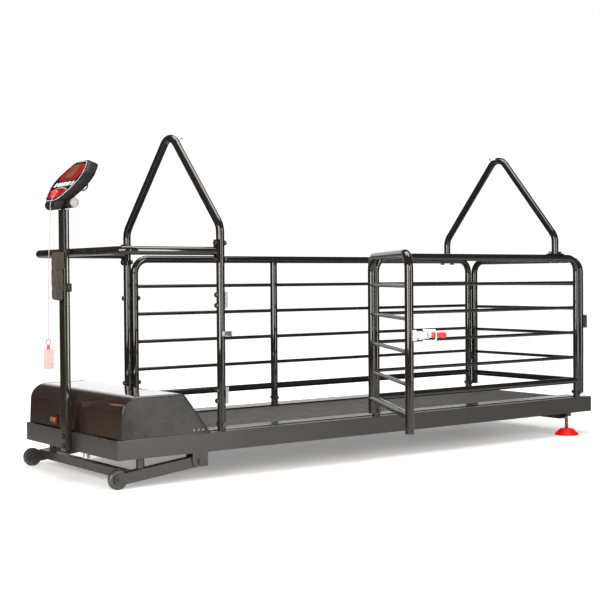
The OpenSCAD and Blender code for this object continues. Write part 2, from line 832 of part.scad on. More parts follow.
// Transport wheel: a crowned tread round a dished hub
module wheel(y) {
    translate([wheel_x, y, axle_z]) rotate([90, 0, 0]) rotate_extrude($fn = 96) difference() {
        polygon([
            [axle_d / 2 + fit_gap, -wheel_w / 2], [wheel_d / 2 - 3, -wheel_w / 2],
            [wheel_d / 2, -wheel_w / 2 + 4], [wheel_d / 2, wheel_w / 2 - 4],
            [wheel_d / 2 - 3, wheel_w / 2], [axle_d / 2 + fit_gap, wheel_w / 2]
        ]);
        for (side = [-1, 1]) translate([16, side * wheel_w / 2 - 2]) square([wheel_d / 2 - 24, 4]);
    }
}

module near_wheel() color(rubber) wheel(-arm_y);
module far_wheel() color(rubber) wheel(arm_y);

// Levelling foot: a flared rubber base under a threaded rod
module foot(y) {
    color(red) translate([foot_x, y, 0]) rotate_extrude($fn = 96) polygon([
        [0, 0], [foot_d / 2 - 2, 0], [foot_d / 2, 3], [foot_d / 2 - 3, 7],
        [foot_d / 4 + 4, foot_h - 3], [foot_d / 4, foot_h], [0, foot_h]
    ]);
    color(zinc) upright(foot_x, y, foot_h, foot_rod_top, foot_rod_d);
}

module near_foot() foot(-foot_y);
module far_foot() foot(foot_y);

// Mast and handlebar

// Rectangle with rounded corners, about its middle
function rounded(a, b, r) = [for (q = [0:3], k = [0:6]) let (
    t = 90 * q + 15 * k,
    side = [q == 0 || q == 3 ? 1 : -1, q < 2 ? 1 : -1]
) [side[0] * (a / 2 - r) + r * cos(t), side[1] * (b / 2 - r) + r * sin(t)]];

module mast() color(black) {
    difference() {
        translate([-mast_d / 2, 0, ground - 5]) difference() {
            linear_extrude(mast_top - ground + 5) polygon(rounded(mast_d, mast_w, mast_r));
            translate([0, 0, -1]) linear_extrude(mast_top - ground + 4)
                polygon(rounded(mast_d - 2 * mast_wall, mast_w - 2 * mast_wall, mast_r - mast_wall));
        }
        bolt_bores(frame_bolt_list);
    }
    translate([pivot[0] - 10, -16, mast_top]) cube([20, 32, pivot[2] - mast_top]);
    across(pivot[0], pivot[2], -16, 16, 26);
    across(pivot[0], pivot[2], -barrel_out + 2, barrel_out - 2, 2 * axle_r);
}

// Handlebar: a level U from one arch leg round behind the mast to the other
module handlebar() color(black) {
    end_x = arch_x - tube_r - plate_hug / 2;
    difference() {
        union() {
            translate([0, 0, handle_z]) bent_tube(
                [[end_x, -post_y], [handle_x, -post_y], [handle_x, post_y], [end_x, post_y]],
                [0, hoop_r, hoop_r, 0], tube_d, tube_wall
            );
            for (y = [-post_y, post_y]) translate([end_x, y - tube_r, handle_z - 44]) cube([plate_hug, tube_d, 88]);
        }
        for (y = [-post_y, post_y]) upright(arch_x, y, handle_z - 50, handle_z + 50, tube_d + 2 * seat_gap);
        bolt_bores(frame_bolt_list);
    }
}

// Leash arches

// Height of an arch's sharp corner over its crown
function arch_peak(knee, top) = let (lean = atan2(post_y, top - knee)) top + crown_r * (1 / sin(lean) - 1);

module arch(x, foot_z, knee, top) {
    peak = arch_peak(knee, top);
    in_cross_plane(x) bent_tube(
        [[-post_y, foot_z], [-post_y, knee], [0, peak], [post_y, knee], [post_y, foot_z]],
        [0, knee_r, crown_r, knee_r, 0], tube_d, tube_wall, 3
    );
}

module front_arch() color(black) difference() {
    arch(arch_x, rail_top, arch_knee, arch_top);
    bolt_bores(frame_bolt_list);
}

// Rear arch, standing on a saddle over each top rail
module rear_arch() color(black) difference() {
    union() {
        arch(rear_arch_x, panel_top + tube_r + saddle_t, rear_arch_knee, rear_arch_top);
        for (y = [-post_y, post_y]) {
            translate([rear_arch_x - saddle_reach - 12, y - 16, panel_top + tube_r - 5])
                cube([2 * saddle_reach + 24, 32, saddle_t + 5]);
        }
    }
    for (y = [-post_y, post_y])
        along(y, panel_top, rear_arch_x - 80, rear_arch_x + 80, tube_d + 2 * seat_gap);
    bolt_bores(frame_bolt_list);
}

// Flat steel ring under an arch's crown, for a leash hook
module leash_ring(x, top, way) {
    reach = tube_r + 22;
    translate([x + way * reach, 0, top - 2]) difference() {
        union() {
            cylinder(h = 4, d = 38);
            translate([way > 0 ? -reach : 0, -9, 0]) cube([reach, 18, 4]);
        }
        translate([0, 0, -1]) cylinder(h = 6, d = 24);
        translate([-way * reach, 0, 2]) rotate([90, 0, 0]) cylinder(h = 60, d = tube_d + 2 * seat_gap, center = true);
    }
}

module leash_rings() color(zinc) {
    leash_ring(arch_x, arch_top, 1);
    leash_ring(rear_arch_x, rear_arch_top, -1);
}

// Cage panels

module far_panel_hoop() color(black) difference() {
    union() {
        in_long_plane(post_y) hoop(far_front_x, panel_rear_x, rail_top, panel_top);
        difference() {
            in_long_plane(post_y) translate([near_front_x, rail_top]) rotate([-90, 0, 0])
                linear_extrude(panel_top - rail_top) ring_section(tube_d, tube_wall);
            along(post_y, panel_top, near_front_x - 40, near_front_x + 40, tube_d - tube_wall);
        }
        for (z = hinge_levels) knuckle(rear_hinge, [panel_rear_x, post_y], z);
    }
    bolt_bores(frame_bolt_list);
}

module far_panel_rods() color(black) panel_rods([far_front_x, near_front_x, panel_rear_x], post_y);

module near_panel_hoop() color(black) difference() {
    union() {
        in_long_plane(-post_y) hoop(near_front_x, panel_rear_x, rail_top, panel_top);
        for (z = hinge_levels) knuckle(gate_hinge, [near_front_x, -post_y], z);
    }
    bolt_bores(frame_bolt_list);
}

module near_panel_rods() color(black) panel_rods([near_front_x, panel_rear_x], -post_y);

// Pins of both gates: a headed pin standing in each fixed knuckle
module hinge_pins() color(zinc)
    for (hinge = [gate_hinge, rear_hinge], z = hinge_levels) {
        upright(hinge[0], hinge[1], z - 3, z + 2 * knuckle_h + 2 * run_gap, pin_d);
        upright(hinge[0], hinge[1], z - 3, z, 12);
    }

module frame_bolts() color(zinc) for (b = frame_bolt_list) bolt(b[0], b[1], b[2]);

// Strike plates and the latch's keeper, on the near leg of the front arch.
// The keeper's prong stands just inside the hook's loop when the gate is shut and the lever is thrown.
module gate_strikes() color(zinc) {
    for (z = strike_levels) difference() {
        translate([arch_x + tube_r - 4, -post_y - 12, z - strike_len / 2]) cube([strike_t + 4, 24, strike_len]);
        upright(arch_x, -post_y, z - 60, z + 60, tube_d + 2 * seat_gap);
        bolt_bores(frame_bolt_list);
        for (dz = [-20, 20])
            pointed([arch_x + tube_r + strike_t - head_h, -post_y, z + dz], "x")
                cylinder(h = head_h + 1, d = head_d + 2 * seat_gap);
    }
    difference() {
        union() {
            translate([arch_x - 7, -post_y - tube_r - 2.5, latch_z - 9]) cube([keeper_x + 7, 6.5, 18]);
            translate([arch_x + keeper_x - 4, -post_y - tube_r - 28, latch_z - 9]) cube([4, 30, 18]);
        }
        upright(arch_x, -post_y, latch_z - 20, latch_z + 20, tube_d + 2 * seat_gap);
    }
}

// Side gate

// Swings the shut gate open about its hinge line
module gate_swing() {
    translate([gate_hinge[0], gate_hinge[1], 0]) rotate([0, 0, gate_open])
        translate([-gate_hinge[0], -gate_hinge[1], 0]) children();
}

module side_gate_hoop() color(black) gate_swing() {
    in_long_plane(-post_y) hoop(gate_free_x, gate_post_x, gate_foot, panel_top);
    for (z = hinge_levels) knuckle(gate_hinge, [gate_post_x, -post_y], z + knuckle_h + run_gap);
}

module side_gate_rods() color(black) gate_swing() panel_rods([gate_free_x, gate_post_x], -post_y);

// Pull latch on the gate's free post: ears on a plate, a lever and a U hook

module latch_base() color(zinc) gate_swing() difference() {
    union() {
        translate([gate_free_x - 13, latch_y + 16, latch_z - 19]) cube([26, 18, 38]);
        for (side = [-1, 1]) translate([gate_free_x, latch_y, latch_z + side * (ear_gap + ear_t) / 2]) {
            translate([-10, 0, -ear_t / 2]) cube([20, 18, ear_t]);
            translate([0, 0, -ear_t / 2]) cylinder(h = ear_t, d = 20);
        }
        upright(gate_free_x, latch_y, latch_z - ear_gap / 2 - ear_t, latch_z + ear_gap / 2 + ear_t, latch_pin_d);
    }
    upright(gate_free_x, -post_y, latch_z - 30, latch_z + 30, tube_d + 2 * seat_gap);
}

// Lever: a folded channel from the pin to the grip
module latch_lever() color(zinc) gate_swing() difference() {
    union() {
        for (side = [-1, 1]) translate([gate_free_x, latch_y, latch_z + side * plate_z - 1.25]) {
            cylinder(h = 2.5, d = 14);
            translate([-7, -hook_off - 14, 0]) cube([14, hook_off + 14, 2.5]);
        }
        translate([gate_free_x - 7, latch_y - hook_off - 18, latch_z - plate_z - 1.25])
            cube([14, 4.01, 2 * plate_z + 2.5]);
        translate([gate_free_x, latch_y - lever_len + grip_nose, latch_z]) rotate([-90, 0, 0])
            cylinder(h = lever_len - hook_off - grip_nose - 15, d = grip_bore);
        upright(gate_free_x, latch_y - hook_off, latch_z - hook_z - 4, latch_z + hook_z + 4, latch_pin_d);
    }
    upright(gate_free_x, latch_y, latch_z - 40, latch_z + 40, latch_pin_d + 2 * fit_gap);
}

module latch_grip() color(red) gate_swing() difference() {
    translate([gate_free_x, latch_y - lever_len, latch_z]) rotate([-90, 0, 0]) rotate_extrude() polygon([
        [0, 0], [grip_d / 2 - 3, 0], [grip_d / 2, grip_nose], [grip_d / 2 - 1, grip_len / 2],
        [grip_d / 2, grip_len - 4], [grip_d / 2 - 2, grip_len], [0, grip_len]
    ]);
    translate([gate_free_x, latch_y - lever_len + grip_nose - fit_gap, latch_z]) rotate([-90, 0, 0])
        cylinder(h = lever_len, d = grip_bore + 2 * fit_gap);
}

// U hook: two eyes on the lever's pin and a bent loop
module latch_hook() color(zinc) gate_swing() translate([gate_free_x, latch_y - hook_off, latch_z])
    rotate([0, 0, -hook_hang]) {
    in_cross_plane(0) bent_tube(
        [[-5, hook_z], [-hook_reach, hook_z], [-hook_reach, -hook_z], [-5, -hook_z]],
        [0, 9, 9, 0], hook_d
    );
    for (side = [-1, 1]) translate([0, 0, side * hook_z]) difference() {
        cylinder(h = hook_d - 1, d = 13, center = true);
        cylinder(h = hook_d + 4, d = latch_pin_d + 2 * fit_gap, center = true);
    }
}

// Rear gate, shut across the run

module rear_gate_hoop() color(black) {
    in_cross_plane(rear_gate_x) hoop(rear_free_y, post_y, gate_foot, panel_top - rear_gate_drop);
    for (z = hinge_levels) knuckle(rear_hinge, [rear_gate_x, post_y], z + knuckle_h + run_gap);
}

module rear_gate_rods() color(black) translate([rear_gate_x, 0, -rear_gate_drop]) rotate([0, 0, 90])
    panel_rods([rear_free_y, post_y], 0);

// Catch on the rear gate's free post
module rear_catch() color(rubber) difference() {
    translate([rear_gate_x, rear_free_y - 13, 502]) cube([tube_r + catch_d, 26, 61]);
    upright(rear_gate_x, rear_free_y, 500, 570, tube_d + 2 * seat_gap);
}

// Console

// Puts a drawing of the console's face, X up the face and Z out of it, on its axle
module on_console() {
    translate(pivot) rotate([0, -console_lean, 0]) children();
}

// Oval face outline, drawn in by a margin and moved up the face, as a thin slab
module face_slab(inset, n, t, up = 0) {
    wide = console_w / 2 - 20;
    low = face_low + up;
    for (y = [-1, 1]) {
        translate([low + console_len * 0.51, y * 20, n]) cylinder(h = t, r = wide - inset, $fn = 40);
        translate([low + 60, y * 24, n]) cylinder(h = t, r = 60 - inset, $fn = 40);
        translate([low + console_len - 54, y * 30, n]) cylinder(h = t, r = 54 - inset, $fn = 40);
    }
}

module console_body() color(black) on_console() {
    difference() {
        union() {
            hull() {
                face_slab(4, face_n - 1, 1);
                face_slab(0, face_n - 16, 8, back_rise / 4);
                face_slab(8, face_n - console_t, 2, back_rise);
            }
            hull() {
                for (y = [-38, 38]) translate([10, y, 20]) cylinder(h = 30, r = 30, $fn = 40);
                for (e = [0, chin_edge]) across(
                    chin[0], chin[1], e - chin_w / 2, chin_w / 2 - e, chin[2] - 2 * (chin_edge - e), $fn = 40
                );
            }
            for (y = [-barrel_out, barrel_in]) across(0, 0, y, y + barrel_out - barrel_in, 2 * barrel_r);
        }
        across(0, 0, -barrel_out - 1, barrel_out + 1, 2 * (axle_r + fit_gap));
        across(0, 0, -barrel_in, barrel_in, 2 * barrel_r);
        translate([0, 0, face_n - window_depth]) hull() face_slab(14, 0, window_depth + 1);
        for (y = [-1:1]) translate([key_s, y * key_pitch, face_n - 7])
            cube([key_size[0] + 2 * run_gap, key_size[1] + 2 * run_gap, 14], center = true);
    }
}

// Fascia: the printed window plate in the console's recess, open round the keys
module console_fascia() color(red) on_console() difference() {
    translate([0, 0, face_n - window_depth + seat_gap]) hull() face_slab(14.2, 0, 1.5);
    for (y = [-1:1]) translate([key_s, y * key_pitch, face_n])
        cube([key_size[0] + 2 * run_gap, key_size[1] + 2 * run_gap, 20], center = true);
}

module key(y) {
    on_console() translate([key_s - key_size[0] / 2, y - key_size[1] / 2, face_n - window_depth - 4])
        cube([key_size[0], key_size[1], key_size[2] + 3]);
}

module key_1() color("white") key(-key_pitch);
module key_2() color("white") key(0);
module key_3() color("white") key(key_pitch);

// Safety key: a domed disc that lies on the fascia
module safety_key() color(red) on_console() translate([stop_key[0], stop_key[1], face_n - window_depth + 1.5 + run_gap])
    rotate_extrude() polygon([
        [0, 0], [stop_key_d / 2, 0], [stop_key_d / 2, 4], [stop_key_d / 2 - 3, 7], [0, 9]
    ]);

function cord_way(i) = let (
    a = cord_route[max(0, i - 1)],
    b = cord_route[min(len(cord_route) - 1, i + 1)]
) (b - a) / norm(b - a);
function cord_ring(i) = let (
    way = cord_way(i),
    side = [0, 1, 0],
    up = cross(way, side)
) [for (k = [0:cord_sides - 1]) cord_route[i]
    + cord_d / 2 * (cos(360 * k / cord_sides) * side + sin(360 * k / cord_sides) * up)];

// Safety cord: one tube swept along its route
module lanyard() color("pink") {
    rings = len(cord_route);
    points = [for (i = [0:rings - 1]) each cord_ring(i)];
    walls = [for (i = [0:rings - 2], k = [0:cord_sides - 1], half = [0, 1])
        let (a = i * cord_sides + k, b = i * cord_sides + (k + 1) % cord_sides)
        half == 0 ? [a, b, b + cord_sides] : [a, b + cord_sides, a + cord_sides]];
    first = [for (k = [0:cord_sides - 1]) cord_sides - 1 - k];
    last = [for (k = [0:cord_sides - 1]) (rings - 1) * cord_sides + k];
    polyhedron(points = points, faces = concat(walls, [first, last]));
}

// Clip at the cord's end: a wire ring over two long jaws
module lanyard_clip() color("lightcoral") {
    end = cord_route[len(cord_route) - 1];
    ring_r = 10;
    wire_d = 2.6;
    clip_t = 10;
    translate([end[0], end[1] + clip_t / 2, end[2] - ring_r - wire_d / 2 - 0.2]) rotate([90, 0, 0]) {
        translate([0, 0, clip_t / 2]) rotate_extrude() translate([ring_r, 0]) circle(d = wire_d);
        difference() {
            linear_extrude(clip_t) polygon([
                [-6, -8], [6, -8], [9, -24], [20, -62], [15, -99], [-15, -99], [-20, -62], [-9, -24]
            ]);
            translate([-1.5, -101, -1]) cube([3, 60, clip_t + 2]);
        }
    }
}

// Pouch: a slim tapered holster on the mast's front
module pouch() color([0.2, 0.19, 0.18])
    translate([-mast_d - run_gap, pouch_w / 2 - pouch_near, handle_z + 1 - pouch_len]) rotate([90, 0, 0]) linear_extrude(pouch_w)
        polygon([[0, 0], [0, pouch_len], [-pouch_d, pouch_len - 6], [-pouch_d + 3, 6], [-pouch_d + 8, 0]]);

placed() side_rails();
placed() end_caps();
placed() front_plate();
placed() motor_pan();
placed() cross_members();
placed() deck_board();
placed() deck_cushions();
placed() running_belt();
placed() foot_rails();
placed() bearing_blocks();
placed() hood_shell();
placed() hood_sides();
placed() drive_motor();
placed() motor_controller();
placed() drive_belt();
placed() lift_motor();
placed() lift_brackets();
placed() bump_stops();
placed() mast();
placed() handlebar();
placed() front_arch();
placed() rear_arch();
placed() leash_rings();
placed() far_panel_hoop();
placed() far_panel_rods();
placed() near_panel_hoop();
placed() near_panel_rods();
placed() frame_bolts();
placed() gate_strikes();
placed() hinge_pins();
placed() switch_housing();
placed() pouch();
placed() side_gate_hoop();
placed() side_gate_rods();
placed() latch_base();
placed() latch_lever();
placed() latch_grip();
placed() latch_hook();
placed() rear_gate_hoop();
placed() rear_gate_rods();
placed() rear_catch();
placed() lift_frame();
placed() near_wheel();
placed() far_wheel();
placed() lift_screw();
placed() front_roller();
placed() rear_roller();
placed() motor_pulley();
placed() console_body();
placed() console_fascia();
placed() key_1();
placed() key_2();
placed() key_3();
placed() safety_key();
placed() lanyard();
placed() lanyard_clip();
placed() on_button();
placed() off_button();
placed() near_foot();
placed() far_foot();
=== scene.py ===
import json
import math

import bmesh
import bpy
import numpy as np
from mathutils import Matrix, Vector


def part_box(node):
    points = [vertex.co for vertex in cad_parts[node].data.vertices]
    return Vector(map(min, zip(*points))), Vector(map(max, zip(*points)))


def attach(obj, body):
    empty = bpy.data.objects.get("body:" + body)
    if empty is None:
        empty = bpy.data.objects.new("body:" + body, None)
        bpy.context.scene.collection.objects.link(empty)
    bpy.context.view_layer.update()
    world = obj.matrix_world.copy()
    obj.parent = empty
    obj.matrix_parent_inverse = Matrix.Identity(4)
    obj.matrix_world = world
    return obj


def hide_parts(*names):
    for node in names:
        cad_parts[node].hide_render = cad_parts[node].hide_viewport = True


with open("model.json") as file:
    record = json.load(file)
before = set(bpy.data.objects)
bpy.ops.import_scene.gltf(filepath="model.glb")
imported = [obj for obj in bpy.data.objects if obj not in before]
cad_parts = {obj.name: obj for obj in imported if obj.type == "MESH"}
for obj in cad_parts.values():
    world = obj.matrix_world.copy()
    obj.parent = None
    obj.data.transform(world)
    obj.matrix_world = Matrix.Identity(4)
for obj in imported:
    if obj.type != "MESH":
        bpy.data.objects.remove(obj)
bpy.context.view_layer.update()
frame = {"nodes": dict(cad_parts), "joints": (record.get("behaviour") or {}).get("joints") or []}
nodes = frame["nodes"]

# Machine places are in millimetres from the front plate's face, the deck's middle line and the floor.
PIVOT = np.array([-5.0, 0.0, 1036.0])
tilt = next(joint for joint in frame["joints"] if joint["name"] == "console_tilt")
ORIGIN = PIVOT - 1000 * np.array(tilt["pos_m"])
LEAN = math.radians(50)
SIDES = (("near", -1), ("far", 1))


def at(x, y, z):
    """Machine millimetres to the frame's metres: the place less the origin, over a thousand."""
    return (np.stack(np.broadcast_arrays(x, y, z), -1).astype(float) - ORIGIN) / 1000


def in_machine(box):
    """A box's low and high corner, from the frame's metres to machine millimetres."""
    return (1000 * np.array(corner) + ORIGIN for corner in box)


def on_console(s, y, n):
    """Console place: s climbs the face, n stands out of it, both turned by the lean about the axle."""
    c, d = math.cos(LEAN), math.sin(LEAN)
    return at(PIVOT[0] + s * c - n * d, y, PIVOT[2] + s * d + n * c)


# Meshes


def skin(name, grid, finish, body, wrap=(False, True), caps=True, smooth=40, uv=None):
    """A grid of points (rows, columns, 3) as quads; wrap closes rows or columns, caps close the end rows."""
    rows, cols = grid.shape[:2]
    index = np.arange(rows * cols).reshape(rows, cols)
    if wrap[0]:
        index = np.vstack([index, index[:1]])
    if wrap[1]:
        index = np.hstack([index, index[:, :1]])
    quads = np.stack([index[:-1, :-1], index[:-1, 1:], index[1:, 1:], index[1:, :-1]], -1)
    faces = quads.reshape(-1, 4).tolist()
    if caps and wrap[1] and not wrap[0]:
        faces += [np.arange(cols)[::-1].tolist(), (np.arange(cols) + (rows - 1) * cols).tolist()]
    mesh = bpy.data.meshes.new(name)
    mesh.from_pydata(grid.reshape(-1, 3).tolist(), [], faces)
    if uv is not None:
        layer = mesh.uv_layers.new(name="UVMap")
        corner = np.empty(len(mesh.loops), dtype=np.int32)
        mesh.loops.foreach_get("vertex_index", corner)
        layer.data.foreach_set("uv", uv.reshape(-1, 2)[corner].astype(np.float32).ravel())
    return piece(name, mesh, finish, body, smooth)


def piece(name, mesh, finish, body, smooth):
    """Puts a mesh in the scene on its body, with normals turned outwards and edges over an angle kept sharp."""
    shape = bmesh.new()
    shape.from_mesh(mesh)
    bmesh.ops.remove_doubles(shape, verts=shape.verts, dist=1e-7)
    bmesh.ops.recalc_face_normals(shape, faces=shape.faces)
    shape.to_mesh(mesh)
    shape.free()
    mesh.polygons.foreach_set("use_smooth", np.ones(len(mesh.polygons), dtype=bool))
    mesh.set_sharp_from_angle(angle=math.radians(smooth))
    mesh.materials.append(finish)
    obj = bpy.data.objects.new(name, mesh)
    bpy.context.collection.objects.link(obj)
    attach(obj, body)
    return obj


def ring(count):
    """Headings once round, without the last."""
    return np.linspace(0, 2 * np.pi, count, endpoint=False)


def slab_rows(outline, low, high, edge):
    """A flat plate with a rounded rim: rings of the outline that step in by the edge at the top.
    outline(inset) gives (columns, 2); the result is rows of (first, second, height)."""
    turn = np.linspace(0, np.pi / 2, 5)
    insets = np.concatenate([[edge * 0.3, 0.0], edge * (1 - np.cos(turn))])
    heights = np.concatenate([[low, low + 0.3 * edge], high - edge + edge * np.sin(turn)])
    rings = [np.column_stack([outline(i), np.full(len(outline(i)), h)]) for i, h in zip(insets, heights)]
    return np.stack(rings)


def rounded_box(half_a, half_b, radius, inset=0.0):
    """Rectangle with round corners: four quarter circles about the inner corners, drawn in by an inset."""
    count = 12
    quarter = np.linspace(0, np.pi / 2, count)
    t = np.concatenate([quarter + k * np.pi / 2 for k in range(4)])
    sign_a = np.repeat([1, -1, -1, 1], count)
    sign_b = np.repeat([1, 1, -1, -1], count)
    r = max(radius - inset, 0.05)
    return np.column_stack([
        sign_a * (half_a - radius) + r * np.cos(t),
        sign_b * (half_b - radius) + r * np.sin(t),
    ])


def tube_along(path, radius, sides):
    """A round tube: at each point a circle square to the path, started from the machine's cross axis."""
    way = np.gradient(path, axis=0)
    way /= np.linalg.norm(way, axis=1, keepdims=True)
    side = np.cross(way, [0.0, 1.0, 0.0])
    side /= np.linalg.norm(side, axis=1, keepdims=True)
    up = np.cross(side, way)
    t = ring(sides)[None, :, None]
    return path[:, None] + radius * (np.cos(t) * side[:, None] + np.sin(t) * up[:, None])


# Finishes


def shader_group(name, inputs, outputs):
    """An empty node group with its inputs (label, kind, default or None) and outputs (label, kind)."""
    group = bpy.data.node_groups.new(name, "ShaderNodeTree")
    for label, kind, value in inputs:
        socket = group.interface.new_socket(label, in_out="INPUT", socket_type=kind)
        if value is not None:
            socket.default_value = value
    for label, kind in outputs:
        group.interface.new_socket(label, in_out="OUTPUT", socket_type=kind)
    return group, group.nodes.new("NodeGroupInput"), group.nodes.new("NodeGroupOutput")


def grain_group():
    """Two noises, one coarse and one seven times finer, as masks from 0 to 1."""
    group, into, out = shader_group(
        "surface_grain",
        [("Vector", "NodeSocketVector", None), ("Scale", "NodeSocketFloat", 40.0)],
        [("Coarse", "NodeSocketFloat"), ("Fine", "NodeSocketFloat")],
    )
    finer = group.nodes.new("ShaderNodeMath")
    finer.operation = "MULTIPLY"
    finer.inputs[1].default_value = 7.0
    group.links.new(into.outputs["Scale"], finer.inputs[0])
    for label, scale in (("Coarse", into.outputs["Scale"]), ("Fine", finer.outputs[0])):
        noise = group.nodes.new("ShaderNodeTexNoise")
        noise.inputs["Detail"].default_value = 4.0
        spread = group.nodes.new("ShaderNodeMapRange")
        spread.inputs["From Min"].default_value = 0.3
        spread.inputs["From Max"].default_value = 0.7
        group.links.new(into.outputs["Vector"], noise.inputs["Vector"])
        group.links.new(scale, noise.inputs["Scale"])
        group.links.new(noise.outputs["Fac"], spread.inputs["Value"])
        group.links.new(spread.outputs["Result"], out.inputs[label])
    return group


def dust_group():
    """How far a face looks up, times a patchy noise: where fine dust settles."""
    group, into, out = shader_group(
        "settled_dust",
        [("Vector", "NodeSocketVector", None), ("Amount", "NodeSocketFloat", 0.3)],
        [("Mask", "NodeSocketFloat")],
    )
    facing = group.nodes.new("ShaderNodeNewGeometry")
    split = group.nodes.new("ShaderNodeSeparateXYZ")
    noise = group.nodes.new("ShaderNodeTexNoise")
    noise.inputs["Scale"].default_value = 9.0
    noise.inputs["Detail"].default_value = 6.0
    up = group.nodes.new("ShaderNodeMapRange")
    up.inputs["From Min"].default_value = 0.2
    patch = group.nodes.new("ShaderNodeMath")
    patch.operation = "MULTIPLY"
    scaled = group.nodes.new("ShaderNodeMath")
    scaled.operation = "MULTIPLY"
    scaled.use_clamp = True
    link = group.links.new
    link(facing.outputs["Normal"], split.inputs[0])
    link(split.outputs["Z"], up.inputs["Value"])
    link(into.outputs["Vector"], noise.inputs["Vector"])
    link(up.outputs["Result"], patch.inputs[0])
    link(noise.outputs["Fac"], patch.inputs[1])
    link(patch.outputs[0], scaled.inputs[0])
    link(into.outputs["Amount"], scaled.inputs[1])
    link(scaled.outputs[0], out.inputs["Mask"])
    return group


GRAIN = grain_group()
DUST = dust_group()
DUST_COLOUR = (0.35, 0.33, 0.3)


class Finish:
    """A material under construction: the shader's sockets, its coordinates and shorthand for nodes."""

    def __init__(self, name, space="Object"):
        self.material = bpy.data.materials.new(name)
        self.material.use_nodes = True
        self.tree = self.material.node_tree
        self.into = self.tree.nodes["Principled BSDF"].inputs
        self.place = self.node("TexCoord").outputs[space]

    def node(self, kind, **values):
        made = self.tree.nodes.new("ShaderNode" + kind)
        for key, value in values.items():
            setattr(made, key, value)
        return made

    def link(self, source, target):
        self.tree.links.new(source, target)

    def group(self, tree, **values):
        """A shared node group on the finish's own coordinates."""
        made = self.node("Group", node_tree=tree)
        self.link(self.place, made.inputs["Vector"])
        for key, value in values.items():
            made.inputs[key].default_value = value
        return made

    def split(self):
        """The coordinates' single values."""
        made = self.node("SeparateXYZ")
        self.link(self.place, made.inputs[0])
        return made.outputs

    def fixed(self, **values):
        """Constants on the shader's own sockets, with _ for a space."""
        for key, value in values.items():
            self.into[key.replace("_", " ")].default_value = value

    def ramp(self, source, low, high, target=None, span=(0.0, 1.0)):
        """A value spread from its span to low and high."""
        made = self.node("MapRange")
        made.inputs["From Min"].default_value, made.inputs["From Max"].default_value = span
        made.inputs["To Min"].default_value, made.inputs["To Max"].default_value = low, high
        self.link(source, made.inputs["Value"])
        if target is not None:
            self.link(made.outputs["Result"], target)
        return made.outputs["Result"]

    def math(self, operation, a, b=0.0):
        """One operation on two numbers or sockets."""
        made = self.node("Math", operation=operation)
        for socket, value in zip(made.inputs, (a, b)):
            if isinstance(value, (int, float)):
                socket.default_value = value
            else:
                self.link(value, socket)
        return made.outputs[0]

    def weigh(self, a, share_a, b, share_b):
        """Two values added by their shares."""
        return self.math("ADD", self.math("MULTIPLY", a, share_a), self.math("MULTIPLY", b, share_b))

    def blend(self, mask, low, high, target=None):
        """From one colour or socket to another by a mask."""
        made = self.node("Mix", data_type="RGBA")
        self.link(mask, made.inputs[0])
        for socket, value in ((made.inputs[6], low), (made.inputs[7], high)):
            if isinstance(value, tuple):
                socket.default_value = (*value, 1.0)
            else:
                self.link(value, socket)
        if target is not None:
            self.link(made.outputs[2], target)
        return made.outputs[2]

    def bump(self, height, depth):
        """Fine relief as deep as given, in metres."""
        made = self.node("Bump")
        made.inputs["Strength"].default_value = 1.0
        made.inputs["Distance"].default_value = depth
        self.link(height, made.inputs["Height"])
        self.link(made.outputs["Normal"], self.into["Normal"])


def shade(colour, factor):
    """A colour times a factor, at most 1."""
    return tuple(min(1.0, c * factor) for c in colour)


def plain(name, colour, rough, grain, depth, vary, dust=0.0, **fixed):
    """A paint, plastic or metal: colour and gloss drift with a coarse noise, and a fine one roughens it."""
    made = Finish(name)
    made.fixed(**fixed)
    noise = made.group(GRAIN, Scale=grain)
    low, high = shade(colour, 1 - vary), shade(colour, 1 + vary)
    if dust > 0:
        tinted = made.blend(noise.outputs["Coarse"], low, high)
        settled = made.group(DUST, Amount=dust)
        made.blend(settled.outputs["Mask"], tinted, DUST_COLOUR, made.into["Base Color"])
    else:
        made.blend(noise.outputs["Coarse"], low, high, made.into["Base Color"])
    made.ramp(noise.outputs["Coarse"], rough * 0.85, rough * 1.2, made.into["Roughness"])
    if depth > 0:
        made.bump(noise.outputs["Fine"], depth)
    return made.material


# Each has its name, colour, roughness, the grain's scale, the relief's depth and the drift of its colour.
tube_paint = plain("tube_paint", (0.010, 0.0089, 0.0078), 0.045, 25, 0.0, 0.1)
mast_paint = plain("mast_paint", (0.014, 0.0115, 0.0085), 0.1, 25, 0.0, 0.15)
rail_paint = plain("rail_paint", (0.019, 0.0175, 0.016), 0.32, 45, 0.00002, 0.12, dust=0.03)
edge_paint = plain("edge_paint", (0.022, 0.02, 0.018), 0.14, 45, 0.000005, 0.12)
zinc = plain("bright_zinc", (0.6, 0.6, 0.62), 0.34, 120, 0.00003, 0.12, Metallic=0.9)
dull_zinc = plain("dull_zinc", (0.22, 0.22, 0.225), 0.38, 120, 0.00003, 0.15, Metallic=0.9)
dark_bolt = plain("blackened_bolt", (0.05, 0.05, 0.05), 0.35, 150, 0.00005, 0.2, Metallic=0.6)
alloy = plain("fin_alloy", (0.55, 0.55, 0.57), 0.4, 120, 0.00005, 0.1, Metallic=1.0)
ridge_silver = plain("ridge_silver", (0.55, 0.45, 0.45), 0.28, 120, 0.00003, 0.08, Metallic=0.5)
cast_iron = plain("cast_housing", (0.12, 0.12, 0.125), 0.6, 90, 0.0002, 0.25)
board = plain("deck_board", (0.4, 0.27, 0.15), 0.7, 30, 0.0001, 0.25)
black_rubber = plain("black_rubber", (0.02, 0.02, 0.02), 0.55, 180, 0.0001, 0.2)
wheel_finish = plain("wheel_rubber", (0.034, 0.033, 0.032), 0.25, 120, 0.00003, 0.15)
black_gloss = plain("gloss_black_trim", (0.01, 0.01, 0.01), 0.16, 40, 0.00003, 0.2)
